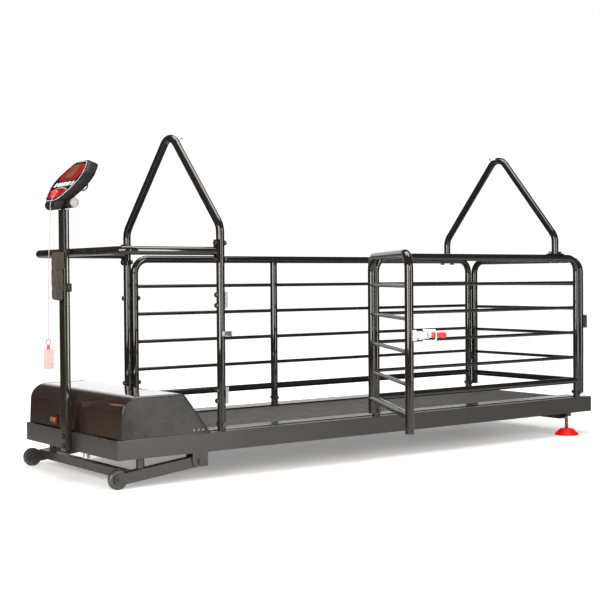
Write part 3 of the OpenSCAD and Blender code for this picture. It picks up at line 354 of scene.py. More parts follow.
console_plastic = plain(
    "console_plastic", (0.016, 0.015, 0.014), 0.4, 350, 0.00002, 0.12, Specular_IOR_Level=0.08
)
console_rim = plain("console_rim", (0.6, 0.6, 0.6), 0.3, 120, 0.00003, 0.1)
fascia_black = plain("fascia_black", (0.007, 0.006, 0.006), 0.3, 30, 0.00001, 0.2, Specular_IOR_Level=0.15)
fascia_red = plain("fascia_red", (0.27, 0.007, 0.012), 0.35, 60, 0.00001, 0.15, Specular_IOR_Level=0.15)
key_white = plain("key_white", (0.62, 0.62, 0.62), 0.35, 100, 0.00003, 0.05)
cap_grey = plain("pivot_cap_grey", (0.3, 0.27, 0.29), 0.4, 120, 0.00004, 0.06)
red_plastic = plain("red_plastic", (0.65, 0.02, 0.02), 0.28, 120, 0.00004, 0.1)
safety_red = plain("safety_red", (0.8, 0.06, 0.06), 0.3, 120, 0.00004, 0.1)
green_plastic = plain("green_plastic", (0.01, 0.14, 0.04), 0.28, 120, 0.00004, 0.15)


def hood_finish():
    """Deep brown-black lacquer: a smooth coat over a slightly uneven sheet."""
    made = Finish("hood_lacquer")
    made.fixed(Coat_Weight=1.0, Coat_Roughness=0.03)
    noise = made.group(GRAIN, Scale=6.0)
    made.blend(noise.outputs["Coarse"], (0.012, 0.007, 0.005), (0.022, 0.013, 0.009), made.into["Base Color"])
    made.ramp(noise.outputs["Fine"], 0.1, 0.16, made.into["Roughness"])
    made.bump(noise.outputs["Coarse"], 0.0001)
    return made.material


def side_plate_finish():
    """Rolled dark sheet: a broad uneven bloom with fine specks in it, which also drift the gloss."""
    made = Finish("mottled_side_plate")
    made.fixed(Specular_IOR_Level=0.2, Metallic=0.2)
    bloom = made.group(GRAIN, Scale=11.0)
    speck = made.group(GRAIN, Scale=150.0)
    mix = made.weigh(bloom.outputs["Coarse"], 0.62, speck.outputs["Coarse"], 0.38)
    made.blend(mix, (0.006, 0.006, 0.0063), (0.05, 0.05, 0.052), made.into["Base Color"])
    made.ramp(mix, 0.2, 0.46, made.into["Roughness"])
    made.bump(speck.outputs["Fine"], 0.00006)
    return made.material


def belt_finish():
    """Woven rubber belt: a diamond grid of two crossed waves, grey-brown with worn streaks along the run."""
    made = Finish("running_belt")
    pitch = 900.0
    split = made.split()
    ridges = []
    for sign in (1.0, -1.0):
        line = made.weigh(split["X"], pitch, split["Y"], pitch * sign)
        ridges.append(made.math("ABSOLUTE", made.math("SINE", line)))
    weave = made.math("MULTIPLY", *ridges)
    noise = made.group(GRAIN, Scale=22.0)
    streak = made.node("TexNoise")
    streak.inputs["Scale"].default_value = 1.0
    stretch = made.node("Mapping")
    stretch.inputs["Scale"].default_value = (1.2, 26.0, 1.0)
    made.link(made.place, stretch.inputs["Vector"])
    made.link(stretch.outputs["Vector"], streak.inputs["Vector"])
    tone = made.weigh(weave, 0.35, streak.outputs["Fac"], 0.65)
    made.blend(tone, (0.022, 0.021, 0.020), (0.085, 0.08, 0.075), made.into["Base Color"])
    made.ramp(noise.outputs["Coarse"], 0.55, 0.75, made.into["Roughness"])
    made.bump(weave, 0.0006)
    return made.material


def foot_finish():
    """Red rubber below the base's top, bright threaded steel above it, told apart by height."""
    made = Finish("levelling_foot")
    made.fixed(Specular_IOR_Level=0.15)
    height = made.split()["Z"]
    rod = made.math("GREATER_THAN", height, 0.0302)
    noise = made.group(GRAIN, Scale=80.0)
    rubber = made.blend(noise.outputs["Coarse"], (0.72, 0.006, 0.009), (0.86, 0.008, 0.01))
    made.blend(rod, rubber, (0.6, 0.6, 0.62), made.into["Base Color"])
    made.link(rod, made.into["Metallic"])
    made.ramp(rod, 0.38, 0.25, made.into["Roughness"])
    thread = made.math("SINE", made.math("MULTIPLY", height, 3600.0))
    made.bump(made.math("MULTIPLY", thread, rod), 0.0006)
    return made.material


def cloth_finish():
    """Plain weave: over and under threads as two crossed waves on the cloth's own map, with faded patches."""
    made = Finish("pouch_cloth", "UV")
    made.fixed(Sheen_Weight=0.05, Specular_IOR_Level=0.2)
    threads = 5200.0
    split = made.split()
    warp = made.math("SINE", made.math("MULTIPLY", split["X"], threads))
    weft = made.math("SINE", made.math("MULTIPLY", split["Y"], threads))
    weave = made.math("MULTIPLY", warp, weft)
    noise = made.group(GRAIN, Scale=55.0)
    tone = made.weigh(noise.outputs["Coarse"], 0.7, weave, 0.15)
    made.blend(tone, (0.034, 0.029, 0.024), (0.088, 0.077, 0.065), made.into["Base Color"])
    made.ramp(noise.outputs["Coarse"], 0.7, 0.9, made.into["Roughness"])
    made.bump(weave, 0.0003)
    return made.material


def cord_finish():
    """Twisted cord: slanting strands, from the turn and the length on the cord's own map."""
    made = Finish("safety_cord", "UV")
    split = made.split()
    lay = made.weigh(split["X"], 18.85, split["Y"], 2600.0)
    strand = made.math("ABSOLUTE", made.math("SINE", lay))
    made.blend(strand, (0.42, 0.28, 0.3), (0.56, 0.41, 0.43), made.into["Base Color"])
    made.ramp(strand, 0.8, 0.6, made.into["Roughness"])
    made.bump(strand, 0.0004)
    return made.material


def clip_finish():
    """Clear pink-red plastic, a little cloudy."""
    made = Finish("clip_plastic")
    made.fixed(Transmission_Weight=0.35, IOR=1.2)
    noise = made.group(GRAIN, Scale=90.0)
    made.blend(noise.outputs["Coarse"], (0.92, 0.46, 0.47), (0.94, 0.5, 0.5), made.into["Base Color"])
    made.ramp(noise.outputs["Coarse"], 0.2, 0.32, made.into["Roughness"])
    made.bump(noise.outputs["Fine"], 0.00001)
    return made.material


def display_finish():
    """Olive liquid-crystal glass with the faint grid of its unlit cells."""
    made = Finish("display_glass")
    made.fixed(Specular_IOR_Level=0.12)
    brick = made.node("TexBrick")
    brick.inputs["Scale"].default_value = 160.0
    brick.inputs["Color1"].default_value = (0.12, 0.085, 0.032, 1)
    brick.inputs["Color2"].default_value = (0.135, 0.095, 0.036, 1)
    brick.inputs["Mortar"].default_value = (0.095, 0.068, 0.026, 1)
    made.link(made.place, brick.inputs["Vector"])
    made.link(brick.outputs["Color"], made.into["Base Color"])
    noise = made.group(GRAIN, Scale=30.0)
    made.ramp(noise.outputs["Coarse"], 0.12, 0.2, made.into["Roughness"])
    return made.material


hood_lacquer = hood_finish()
side_plate = side_plate_finish()
belt_rubber = belt_finish()
foot_rubber = foot_finish()
pouch_cloth = cloth_finish()
cord_strand = cord_finish()
clip_plastic = clip_finish()
display_glass = display_finish()

FINISHES = {
    mast_paint: "mast",
    tube_paint: "handlebar front_arch rear_arch far_panel_hoop far_panel_rods near_panel_hoop near_panel_rods "
    "side_gate_hoop side_gate_rods rear_gate_hoop rear_gate_rods",
    rail_paint: "side_rails front_plate motor_pan cross_members lift_brackets lift_frame bump_stops",
    dull_zinc: "gate_strikes hinge_pins",
    zinc: "leash_rings latch_base latch_lever latch_hook lift_screw front_roller rear_roller motor_pulley",
    dark_bolt: "frame_bolts",
    black_rubber: "end_caps deck_cushions drive_belt rear_catch",
    black_gloss: "foot_rails switch_housing",
    cast_iron: "bearing_blocks drive_motor lift_motor",
    alloy: "motor_controller",
    board: "deck_board",
    belt_rubber: "running_belt",
    hood_lacquer: "hood_shell",
    side_plate: "hood_sides",
    wheel_finish: "near_wheel far_wheel",
    console_plastic: "console_body",
    fascia_black: "console_fascia",
    key_white: "key_1 key_2 key_3",
    red_plastic: "latch_grip off_button",
    safety_red: "safety_key",
    green_plastic: "on_button",
    clip_plastic: "lanyard_clip",
    cord_strand: "lanyard",
    pouch_cloth: "pouch",
    foot_rubber: "near_foot far_foot",
}
for material, names in FINISHES.items():
    for name in names.split():
        nodes[name].data.materials.clear()
        nodes[name].data.materials.append(material)

# Safety cord

CORD = np.array([
    [-52.5, -1, 1061.9], [-58.1, -5, 1057], [-64, -9, 1050.3], [-69, -13, 1042.8], [-72.7, -15, 1036],
    [-74.2, -16.5, 1028], [-74.5, -17, 1015], [-74.5, -17, 995], [-74.5, -13, 960], [-74.5, -9, 925],
    [-74.5, -5, 890], [-74.5, -1.5, 855], [-74.5, 1.5, 820], [-74.5, 4, 780], [-74.5, 6.5, 740],
    [-74.5, 8.5, 690], [-74.5, 10, 640], [-74.5, 11, 580], [-74.5, 11, 526],
], dtype=float)
CORD_R = 0.0013
CORD_SIDES = 10
END_X, END_Y, END_Z = CORD[-1]


def smooth_path(points, per):
    """Catmull-Rom curve through the points: each span is a cubic whose end slopes are half the neighbours'
    chord."""
    p = np.vstack([2 * points[0] - points[1], points, 2 * points[-1] - points[-2]])
    t = np.linspace(0, 1, per, endpoint=False)[None, :, None]
    a, b, c, d = p[:-3, None], p[1:-2, None], p[2:-1, None], p[3:, None]
    span = 0.5 * (2 * b + (c - a) * t + (2 * a - 5 * b + 4 * c - d) * t**2 + (3 * b - a - 3 * c + d) * t**3)
    return np.vstack([span.reshape(-1, 3), points[-1:]])


cord_path = at(*smooth_path(CORD, 6).T)
cord_run = np.concatenate([[0], np.cumsum(np.linalg.norm(np.diff(cord_path, axis=0), axis=1))])
cord_uv = np.stack(np.meshgrid(np.arange(CORD_SIDES) / CORD_SIDES, cord_run), -1)
cord_tube = tube_along(cord_path, CORD_R, CORD_SIDES)
cord = skin("safety_cord", cord_tube, cord_strand, "safety_key", uv=cord_uv)
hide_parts("lanyard")


def clip_tag():
    """Flat hanging tag: a rounded plate as wide all the way down, its lower edge drawn to a shallow point."""
    half_w, half_tall, middle = 19.0, 38.0, 450.0

    def outline(inset):
        p = rounded_box(half_w, half_tall, 5.0, inset)
        p[:, 1] += np.where(p[:, 1] < 0, 4.0 * np.abs(p[:, 0]) / half_w - 1.0, 0.0)
        return p

    front = slab_rows(outline, 0.0, 4.6, 2.0)[1:]
    back = front[::-1] * np.array([1.0, 1.0, -1.0])
    rows = np.concatenate([back, front])
    grid = at(END_X + rows[..., 0], END_Y + rows[..., 2], middle + rows[..., 1])
    return skin("clip_tag", grid, clip_plastic, "safety_key")


def clip_ring():
    """Wire ring the cord is tied to: a circle turned round a wider one."""
    radius, wire = 10, 1.3
    a, b = ring(48)[:, None], ring(10)[None, :]
    wide = radius + wire * np.cos(b)
    grid = at(END_X + wide * np.cos(a), END_Y + wire * np.sin(b) + 0 * a, END_Z - 11.5 + wide * np.sin(a))
    return skin("clip_ring", grid, dark_bolt, "safety_key", wrap=(True, True), caps=False)


def clip_jaw():
    """The pinched neck between ring and tag: a rounded section that swells from the ring to the tag's top."""
    top, tall, half_deep = 506.0, 22, 3.2
    v = np.linspace(0, 1, 16)[:, None]
    t = ring(32)[None, :]
    half = 4.0 + 5.5 * v**1.5
    x = END_X - 2.5 * v + half * np.sign(np.cos(t)) * np.abs(np.cos(t)) ** 0.6
    y = END_Y + half_deep * np.sign(np.sin(t)) * np.abs(np.sin(t)) ** 0.6
    return skin("clip_jaw", at(x, y + 0 * v, top - tall * v + 0 * t), red_plastic, "safety_key")


clip_pieces = [clip_tag(), clip_ring(), clip_jaw()]
for made in clip_pieces:
    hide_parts("lanyard_clip")

# Console


def drawn_round(circles, inset, count):
    """Closed edge drawn tight round circles (first, second, radius): for each heading the circle that reaches
    furthest gives the point, and the inset draws it in."""
    t = ring(count)
    way = np.column_stack([np.cos(t), np.sin(t)])
    best = (way @ circles[:, :2].T + circles[:, 2]).argmax(1)
    return circles[best, :2] + (circles[best, 2] - inset)[:, None] * way


# Circles of the face (up it, across, radius) and of the chin (up the face, out of the axle, radius).
FACE = np.array([
    [70.12, 20, 90], [70.12, -20, 90], [22, 24, 60], [22, -24, 60], [120, 30, 54], [120, -30, 54],
], dtype=float)
CHIN = np.array([[-36, 32, 19], [-8, 35.5, 14], [24, 36, 13]], dtype=float)
FACE_POINTS = 180
CHIN_POINTS = 120


def face_outline(inset):
    """Edge of the face, drawn round its six circles."""
    return drawn_round(FACE, inset, FACE_POINTS)


def console_rows(levels):
    """Rings of the face's edge: each level has an inset, a height out of the axle and a slide up the face."""
    grid = np.stack([
        np.column_stack([face_outline(inset) + [up, 0.0], np.full(FACE_POINTS, n)]) for inset, n, up in levels
    ])
    return on_console(grid[..., 0], grid[..., 1], grid[..., 2])


SHELL_LEVELS = [
    (14.6, 47.5, 0), (14.2, 51.0, 0), (13.4, 52.0, 0), (6.6, 52.0, 0), (4.6, 51.7, 0.2), (3.0, 50.6, 0.9),
    (1.5, 48.4, 2.4), (0.4, 45.4, 4.6), (0.0, 42.0, 6.2), (0.0, 37.0, 7.4), (1.0, 31.0, 11), (2.8, 24.0, 16),
    (4.8, 17.0, 21), (7.0, 12.0, 24.4), (9.6, 9.4, 25.8), (14, 8.2, 26), (24, 8.0, 26), (44, 8.0, 26),
]
console_shell = skin("console_shell", console_rows(SHELL_LEVELS), console_plastic, "console")


def chin():
    """The bulb under the face: its side outline carried across, drawn in towards both rounded ends and spread
    sideways where it meets the face."""
    y = np.array([-46.0, -45.4, -43.4, -39.8, -35.0, -20.0, 20.0, 35.0, 39.8, 43.4, 45.4, 46.0])
    inset = np.array([11.0, 7.4, 3.8, 1.4, 0.3, 0.0, 0.0, 0.3, 1.4, 3.8, 7.4, 11.0])
    grid = np.stack([
        np.insert(drawn_round(CHIN, drawn, CHIN_POINTS), 1, across, axis=1) for drawn, across in zip(inset, y)
    ])
    grow = np.clip((grid[..., 0] + 32) / 44, 0, 1)
    wide = grid[..., 1] * (1 + 0.46 * grow**2 * (3 - 2 * grow))
    return skin("console_chin", on_console(grid[..., 0], wide, grid[..., 2]), console_plastic, "console")


def turned(name, profile, side, finish):
    """A round part on the console's axle: a profile of distance out and radius, turned once round."""
    out, radii = np.array(profile, dtype=float).T[..., None]
    t = ring(64)
    grid = at(PIVOT[0] + radii * np.cos(t), side * out + 0 * t, PIVOT[2] + radii * np.sin(t))
    return skin(name, grid, finish, "console")


BARREL = [(20, 8), (20, 17.4), (20.6, 18.5), (22, 19), (76, 19), (77.4, 18.5), (78, 17.4), (78, 8)]
CAP = [
    (77.6, 5), (77.6, 18.2), (80, 18.2), (81.2, 17.6), (81.6, 16.6), (81.4, 15.2), (80.6, 14.4), (80.8, 13.4),
    (81.8, 12), (82.4, 7), (82.5, 2),
]
console_parts = [console_shell, chin()]
for label, side in SIDES:
    console_parts.append(turned("console_barrel_" + label, BARREL, side, console_plastic))
    turned("pivot_cap_" + label, CAP, side, cap_grey)
for made in console_parts:
    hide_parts("console_body")

face_up = on_console(0.0, 0.0, 1.0) - on_console(0.0, 0.0, 0.0)
face_up /= np.linalg.norm(face_up)


def face_bead(name, line, n, wide, high, finish, closed):
    """A raised line on the face: an ellipse as wide and high as given, carried along a line of face places."""
    path = on_console(line[:, 0], line[:, 1], n)
    way = np.roll(path, -1, 0) - np.roll(path, 1, 0) if closed else np.gradient(path, axis=0)
    way /= np.linalg.norm(way, axis=1, keepdims=True)
    aside = np.cross(way, face_up)[:, None]
    t = ring(10)[None, :, None]
    grid = path[:, None] + wide / 1000 * np.cos(t) * aside + high / 1000 * np.sin(t) * face_up
    return skin(name, grid, finish, "console", wrap=(closed, True), caps=not closed)


face_bead("console_rim_line", face_outline(7.2), 51.7, 1.5, 1.0, console_rim, True)
DIVIDER_HALF = 66
across = np.linspace(-DIVIDER_HALF, DIVIDER_HALF, 60)
divider = np.column_stack([34 - 16 * (across / DIVIDER_HALF) ** 2, across])
face_bead("face_divider", divider, 50.4, 3.4, 1.3, ridge_silver, False)


def face_plate(name, outline, low, high, finish, edge=0.5):
    """A thin plate on the console's face from an outline in face places."""
    rows = slab_rows(outline, low, high, edge)
    return skin(name, on_console(rows[..., 0], rows[..., 1], rows[..., 2]), finish, "console", smooth=50)


FASCIA_IN = 14.2
fascia = face_plate("fascia_plate", lambda i: face_outline(FASCIA_IN + i), 49.05, 50.4, fascia_black, 0.3)
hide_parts("console_fascia")


def panel(centre, half_s, half_y, radius, side):
    """A rounded face panel about a place up the face and to one side."""
    return lambda inset: rounded_box(half_s, half_y, radius, inset) + np.array([centre, side])


def rounded_off(low, high, trim, pinch=0.0):
    """The face's own edge drawn in by the trim and cut level at both ends, with the ends' corners eased and the
    lower half pinched together."""
    def outline(inset):
        p = face_outline(trim + inset)
        middle, half = (low + high) / 2, (high - low) / 2 - inset
        u = np.clip((p[:, 0] - middle) / half, -1.6, 1.6)
        level = np.tanh(u * np.abs(u) + u) / np.tanh(2.0)
        ease = 1 - 0.1 * np.clip(np.abs(u), 0, 1) ** 6
        narrow = 1 - pinch * np.clip(-u, 0, 1) ** 1.5
        return np.column_stack([middle + half * np.clip(level, -1, 1), p[:, 1] * ease * narrow])
    return outline


PANEL_LOW = 50.3
PANEL_TRIM = 20
face_plate("display_surround", rounded_off(70, 158, PANEL_TRIM, 0.36), PANEL_LOW, 50.9, fascia_red)
face_plate("display_window", panel(118, 37, 31, 5, 8), 50.8, 51.3, fascia_black)
face_plate("display_glass", panel(119, 35, 29, 4, 8), 51.2, 51.6, display_glass)
for label, middle, half in (("a", -70, 9), ("b", -36, 14.5), ("c", 0, 14.5), ("d", 36, 14.5), ("e", 70, 9)):
    face_plate("key_field_" + label, panel(53, 11, half, 3, middle), PANEL_LOW, 50.8, key_white)
face_plate("lower_panel", rounded_off(-23, 25, PANEL_TRIM), PANEL_LOW, 50.9, fascia_red)


def back_loop():
    """Thin loop behind the console: half an ellipse from the shell and back to it."""
    t = np.linspace(0, np.pi, 40)
    return on_console(75 + 19 * np.cos(t), -72 + 0 * t, 12 - 17 * np.sin(t))


LOOP_R = 0.0026
skin("console_back_loop", tube_along(back_loop(), LOOP_R, 12), console_plastic, "console")

# Frame edges

EDGE_R = 1.3


def rolled_edge(name, start, end):
    """Rolled edge of the frame's sheet: a thin circle carried straight from one corner to the next."""
    path = np.array([start, end], dtype=float)
    way = (path[1] - path[0]) / np.linalg.norm(path[1] - path[0])
    upright = np.array([0.0, 0.0, 1.0])
    t = ring(12)[None, :, None]
    grid = path[:, None] + EDGE_R * (np.cos(t) * np.cross(way, upright) + np.sin(t) * upright)
    return skin(name, at(grid[..., 0], grid[..., 1], grid[..., 2]), edge_paint, "base")


plate_low, _ = in_machine(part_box("front_plate"))
rail_low, rail_high = in_machine(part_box("side_rails"))
edge_in = 0.7 * EDGE_R
edge_x, edge_z = plate_low[0] + edge_in, rail_high[2] - edge_in
near_y, far_y = rail_low[1] + edge_in, rail_high[1] - edge_in
rolled_edge("plate_rolled_edge", (edge_x, near_y, edge_z), (edge_x, far_y, edge_z))
for label, across in (("near", near_y), ("far", far_y)):
    rolled_edge("rail_rolled_edge_" + label, (edge_x, across, edge_z), (rail_high[0], across, edge_z))

# Hood

hood_low, hood_high = in_machine(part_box("hood_sides"))
NOSE_A, NOSE_B, NOSE_LEAN = 70.0, 61.0, 4.0
BROW_R = 34.0
SHEET = 2.0
BEAD_IN, BEAD_WIDE, BEAD_OUT = 3.0, 4.0, 2.6
SCREW_R, SCREW_OUT = 4.2, 2.6
SCREW_X = (("a", 318.0), ("b", 338.0), ("c", 358.0))
SCREW_UP = 15


def hood_edge(inset):
    """Hood's side view drawn in by an inset: up the front, which leans a little, round the nose on a quarter of
    an ellipse, along the top, round the brow and down a slope of four in three."""
    nose = np.linspace(np.pi, np.pi / 2, 28)
    brow = np.linspace(np.pi / 2, np.arctan2(3, 4), 12)
    left, top, foot, sill = hood_low[0], hood_high[2], hood_high[0], hood_low[2]
    turn = foot - (top - sill) * 3 / 4 - BROW_R / 2
    x = np.concatenate([
        [left + inset], left + NOSE_LEAN + NOSE_A + (NOSE_A - inset) * np.cos(nose),
        turn + (BROW_R - inset) * np.cos(brow), [foot - inset * 5 / 4],
    ])
    z = np.concatenate([
        [sill], top - NOSE_B + (NOSE_B - inset) * np.sin(nose),
        top - BROW_R + (BROW_R - inset) * np.sin(brow), [sill],
    ])
    return x, z


def carried_across(name, x, z, low, high, finish):
    """A closed side view carried across the machine from one place to another."""
    y = np.array([low, high])[:, None]
    return skin(name, at(x + 0 * y, y + 0 * x, z + 0 * y), finish, "base")


outer, inner = np.array(hood_edge(0.0)), np.array(hood_edge(SHEET))
hood_half = hood_high[1] - SHEET
around = np.hstack([outer, inner[:, ::-1]])
hood_sheet = carried_across("hood_sheet", *around, SHEET - hood_half, hood_half - SHEET, hood_lacquer)
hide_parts("hood_shell")
for label, side in SIDES:
    low, high = side * (hood_half - SHEET), side * hood_half
    plate = carried_across("hood_plate_" + label, *outer, low, high, side_plate)
    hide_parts("hood_sides")


def hood_bead(name, side):
    """Rounded bead on a side plate's rim: an ellipse carried along the plate's outline."""
    x, z = hood_edge(BEAD_IN)
    run_x, run_z = np.gradient(x), np.gradient(z)
    size = np.hypot(run_x, run_z)
    t = ring(14)[None, :]
    wide, out = BEAD_WIDE * np.cos(t), BEAD_OUT * np.sin(t)
    face = side * (hood_high[1] - 1.2)
    x, z = x[:, None], z[:, None]
    grid = at(x - wide * (run_z / size)[:, None], face + out + 0 * x, z + wide * (run_x / size)[:, None])
    return skin(name, grid, black_gloss, "base")


def screw_head(name, x, face, z, side):
    """Pan head on a side plate: a quarter of an ellipse turned once round."""
    v = np.linspace(0, 0.97, 7)[:, None] * np.pi / 2
    t = ring(20)[None, :]
    radius, out = SCREW_R * np.cos(v), SCREW_OUT * np.sin(v)
    grid = at(x + radius * np.cos(t), face + side * (out + 0 * t), z + radius * np.sin(t))
    return skin(name, grid, dull_zinc, "base")


for label, side in SIDES:
    hood_bead("hood_bead_" + label, side)
    for mark, x in SCREW_X:
        name = "hood_screw_%s_%s" % (label, mark)
        screw_head(name, x, side * (hood_high[1] - 2.2), hood_low[2] + SCREW_UP, side)

# Mast

MAST_D, MAST_W = 25.0, 50.0
MAST_FOOT, MAST_TOP = 101.0, PIVOT[2] - 23.5
CROWN, CROWN_POINTS = 0.9, 25


def mast_crown(side):
    """The rolled crown of the mast's narrow side: a shallow parabola across the side, carried up the mast."""
    u = np.linspace(-1, 1, CROWN_POINTS)
    x = np.concatenate([u, u[::-1]]) * (MAST_D / 2 - 2.5) - MAST_D / 2
    out = np.concatenate([CROWN * (1 - u**2), np.full(CROWN_POINTS, -1.0)]) + MAST_W / 2
    z = np.array([MAST_FOOT, MAST_TOP])[:, None]
    return at(x + 0 * z, side * out + 0 * z, z + 0 * x)


for label, side in SIDES:
    skin("mast_crown_" + label, mast_crown(side), mast_paint, "base")

# Pouch

pouch_low, pouch_high = in_machine(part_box("pouch"))
POUCH_DEEP, POUCH_W, POUCH_TALL = pouch_high - pouch_low
POUCH_X, POUCH_Y, _ = (pouch_high + pouch_low) / 2
POUCH_TOP = pouch_high[2]
POUCH_SQUARE = 0.4
CLOTH_ROUND, CLOTH_TALL = 0.15, 0.18


def pouch_shell():
    """Soft holster: rounded sections that swell and fall along the height, fuller below the flap and slack at
    the bottom seam, with shallow creases across the front."""
    v = np.linspace(0, 1, 80)[:, None]
    t = ring(96)[None, :]
    end = np.clip(np.minimum(v, 1 - v) / 0.05, 0, 1) ** 0.5
    waist = 1 - 0.07 * np.exp(-(((v - 0.22) / 0.13) ** 2)) - 0.03 * np.exp(-(((v - 0.6) / 0.1) ** 2))
    full = 0.9 + 0.1 * np.sin(np.pi * np.clip(v * 1.1, 0, 1))
    half_w = (POUCH_W / 2 - 0.3) * (0.86 + 0.14 * end) * waist
    half_d = (POUCH_DEEP / 2 - 0.5) * (0.6 + 0.4 * end) * full
    c, s = np.cos(t), np.sin(t)
    y = half_w * np.sign(c) * np.abs(c) ** POUCH_SQUARE
    x = half_d * np.sign(s) * np.abs(s) ** POUCH_SQUARE
    slack = np.sin(np.pi * v) * (0.55 * np.sin(9 * v * np.pi + 2.0 * c) + 0.4 * np.sin(17 * v + 5 * c))
    x = POUCH_X + x + slack * (s < 0)
    z = POUCH_TOP - POUCH_TALL * (1 - v) + 1.6 * np.cos(t + 0.6) * np.clip(1 - 6 * v, 0, 1)
    uv = np.stack(np.broadcast_arrays(t / (2 * np.pi) * CLOTH_ROUND, v * CLOTH_TALL), -1)
    return at(x, POUCH_Y + y, z + 0 * t), uv


shell_grid, shell_uv = pouch_shell()
pouch = skin("pouch_shell", shell_grid, pouch_cloth, "base", smooth=60, uv=shell_uv)
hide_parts("pouch")

FLAP_COLS, FLAP_ROWS = 40, 44
FLAP_OVER, FLAP_DROP = 0.36, 62


def flap():
    """Flap over the mouth: a sheet from the far edge over the top and down the near side, lifted at its hem,
    where the front corner stands off."""
    u = np.linspace(-1, 1, FLAP_COLS)[None, :]
    w = np.linspace(0, 1, FLAP_ROWS)[:, None]
    over = np.clip(w / FLAP_OVER, 0, 1)
    down = np.clip((w - FLAP_OVER) / (1 - FLAP_OVER), 0, 1)
    front = np.clip(-u, 0, 1)
    start, side = pouch_high[1] - 3, pouch_low[1] - 0.9
    lift = (2.6 + 1.4 * front**2) * down**3
    wave = (0.8 * np.sin(3 * u + 1) + 1.5 * u) * down
    y = start + (side - start) * np.sin(over * np.pi / 2) - lift + 1.0 * np.abs(u) ** 8
    z = POUCH_TOP + 0.6 - 2.5 * (1 - np.cos(over * np.pi / 2)) - FLAP_DROP * down + wave
    x = POUCH_X + u * (POUCH_DEEP / 2 - 0.2) - 1.6 * front**3 * (0.3 + 0.7 * down)
    return at(x + 0 * w, y + 0 * u, z + 0 * u)


flap_grid = flap()
flap_wide = float(np.linalg.norm(np.diff(flap_grid, axis=1), axis=2).sum(1).mean())
flap_long = float(np.linalg.norm(np.diff(flap_grid, axis=0), axis=2).sum(0).mean())
flap_map = np.meshgrid(np.linspace(0, flap_wide, FLAP_COLS), np.linspace(0, flap_long, FLAP_ROWS))
flap_piece = skin(
    "pouch_flap", flap_grid, pouch_cloth, "base", wrap=(False, False), caps=False, smooth=60,
    uv=np.stack(flap_map, -1),
)
thick = flap_piece.modifiers.new("thickness", "SOLIDIFY")
thick.thickness = 0.0016
thick.offset = 0.0

STRAP_HALF = 26.6
STRAP_LEVELS = ((0.965, 706.0), (1.0, 706.4), (1.0, 731.6), (0.965, 732.0))
BUCKLE_X, BUCKLE_Z = -9.0, 719.0
strap_line = rounded_box(MAST_D / 2 + 1.6, STRAP_HALF, 8.6)
strap = np.stack([np.column_stack([strap_line * f, np.full(len(strap_line), z)]) for f, z in STRAP_LEVELS])
strap_grid = at(strap[..., 0] - MAST_D / 2, strap[..., 1], strap[..., 2])
skin("mast_strap", strap_grid, pouch_cloth, "base", caps=False, uv=strap[..., 1:] / 1000)
buckle = slab_rows(lambda i: rounded_box(11.0, 16.0, 4.0, i), 0.0, 8.0, 2.5)
buckle_grid = at(BUCKLE_X + buckle[..., 0], -STRAP_HALF - buckle[..., 2], BUCKLE_Z + buckle[..., 1])
skin("strap_buckle", buckle_grid, fascia_black, "base")

# Stage, light and camera


def floor_finish():
    """Pale studio paper: a painted glow towards white where it is seen directly, held back near the machine as
    a painted shadow; left of the machine it is painted near black for glossy rays only, a painted dark
    reflection."""
    made = Finish("studio_floor")
    made.fixed(Roughness=0.6, Emission_Color=(1, 1, 1, 1))
    ray = made.node("LightPath").outputs
    # Painted dark reflection: left of the machine, glossy rays see the floor near black while the camera sees
    # it pale.
    left = made.ramp(made.split()["X"], 0.0, 1.0, span=(-1.5, -2.1))
    dark_reflection_mask = made.math("MULTIPLY", left, ray["Is Glossy Ray"])
    made.blend(dark_reflection_mask, (0.82, 0.82, 0.82), (0.1, 0.09, 0.08), made.into["Base Color"])
    # Painted shadow and painted glow: for camera rays the floor glows, least within about a metre of the
    # machine's middle line, where it reads as shadow, and more further out, towards white.
    squeeze = made.node("Mapping")
    squeeze.inputs["Location"].default_value = (0.0, ORIGIN[1] / 1000, 0.0)
    squeeze.inputs["Scale"].default_value = (0.36, 1.0, 1.0)
    away = made.node("VectorMath", operation="LENGTH")
    made.link(made.place, squeeze.inputs["Vector"])
    made.link(squeeze.outputs["Vector"], away.inputs[0])
    near = made.ramp(away.outputs["Value"], 0.2, 0.62, span=(0.3, 1.0))
    lift = made.math("ADD", near, made.ramp(away.outputs["Value"], 0.0, 0.35, span=(1.0, 3.0)))
    made.link(made.math("MULTIPLY", lift, ray["Is Camera Ray"]), made.into["Emission Strength"])
    return made.material


FLOOR = 60
mesh = bpy.data.meshes.new("floor")
corners = [(-FLOOR, -FLOOR, 0), (FLOOR, -FLOOR, 0), (FLOOR, FLOOR, 0), (-FLOOR, FLOOR, 0)]
mesh.from_pydata(corners, [], [(0, 1, 2, 3)])
floor = bpy.data.objects.new("floor", mesh)
bpy.context.collection.objects.link(floor)
floor.data.materials.append(floor_finish())


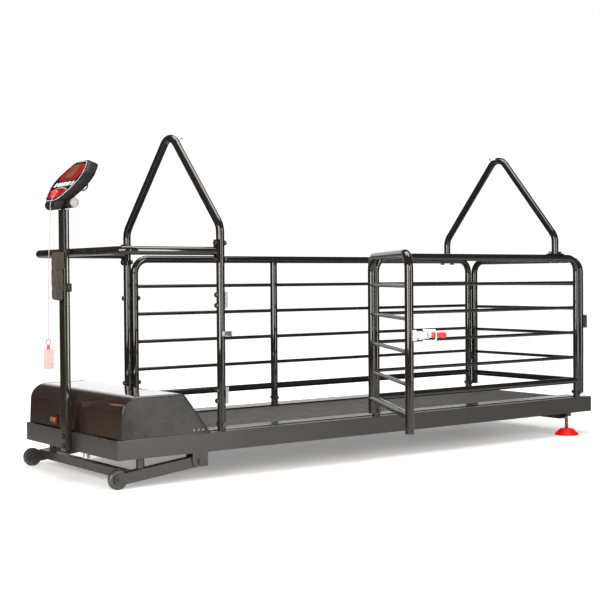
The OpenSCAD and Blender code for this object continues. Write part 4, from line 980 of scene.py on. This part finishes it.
def studio_world():
    """White backdrop behind the machine in a dark room, and plain white where it is seen directly."""
    world = bpy.data.worlds.new("studio")
    bpy.context.scene.world = world
    world.use_nodes = True
    tree = world.node_tree
    back = tree.nodes["Background"]
    place = tree.nodes.new("ShaderNodeTexCoord")
    along = tree.nodes.new("ShaderNodeVectorMath")
    along.operation = "DOT_PRODUCT"
    along.inputs[1].default_value = (0.6, 0.8, 0.0)
    fade = tree.nodes.new("ShaderNodeMapRange")
    fade.interpolation_type = "SMOOTHSTEP"
    for socket, value in zip(("From Min", "From Max", "To Min", "To Max"), (0.84, 0.985, 0.07, 1.1)):
        fade.inputs[socket].default_value = value
    ray = tree.nodes.new("ShaderNodeLightPath")
    seen = tree.nodes.new("ShaderNodeMath")
    seen.operation = "MAXIMUM"
    tree.links.new(place.outputs["Generated"], along.inputs[0])
    tree.links.new(along.outputs["Value"], fade.inputs["Value"])
    tree.links.new(fade.outputs["Result"], seen.inputs[0])
    tree.links.new(ray.outputs["Is Camera Ray"], seen.inputs[1])
    tree.links.new(seen.outputs[0], back.inputs["Strength"])
    back.inputs["Color"].default_value = (1, 1, 1, 1)


studio_world()
bpy.context.scene.view_settings.view_transform = "Standard"


def put(name, data, right, up, back, place):
    """A lamp or camera at a place, turned by its three axes."""
    obj = bpy.data.objects.new(name, data)
    bpy.context.collection.objects.link(obj)
    obj.matrix_world = Matrix([[right[i], up[i], back[i], place[i]] for i in range(3)] + [[0, 0, 0, 1]])
    return obj


LAMP_COLOUR = (1.0, 0.96, 0.92)


def softbox(name, place, target, size, power):
    """A rectangular lamp at a place, turned to its target."""
    lamp = bpy.data.lights.new(name, "AREA")
    lamp.shape = "RECTANGLE"
    lamp.size, lamp.size_y = size
    lamp.energy = power
    lamp.color = LAMP_COLOUR
    back = np.array(place, dtype=float) - np.array(target, dtype=float)
    back /= np.linalg.norm(back)
    side = np.cross([0, 0, 1.0], back)
    side /= np.linalg.norm(side)
    put(name, lamp, side, np.cross(back, side), back, place)


softbox("box_left", (-4.4, -1.9, 1.6), (-0.6, 0, 0.7), (2.4, 2.8), 280)
softbox("strip_right", (1.4, -4.7, 1.5), (0.0, 0, 0.6), (0.8, 3.2), 135)
softbox("strip_front", (-2.2, -4.4, 1.5), (-0.4, 0, 0.6), (0.36, 2.4), 66)
softbox("box_top", (0.2, 0.2, 4.4), (0, 0, 0), (4.0, 2.2), 220)

# The camera that was solved from the photo.
EYE = at(-2039.6, -4215.8, 747.8)
YAW, PITCH, ROLL = math.radians(36.632), math.radians(-1.022), math.radians(-0.411)


def photo_camera():
    """Looks along yaw and pitch, with its level axes turned by the roll."""
    camera = bpy.data.cameras.new("camera")
    camera.sensor_width = 36.0
    camera.lens = 73.008
    camera.clip_end = 200
    ahead = math.cos(PITCH)
    forward = np.array([math.sin(YAW) * ahead, math.cos(YAW) * ahead, math.sin(PITCH)])
    level = np.array([math.cos(YAW), -math.sin(YAW), 0.0])
    above = np.cross(level, forward)
    right = level * math.cos(ROLL) + above * math.sin(ROLL)
    up = -level * math.sin(ROLL) + above * math.cos(ROLL)
    return put("camera", camera, right, up, -forward, EYE)


bpy.context.scene.camera = photo_camera()
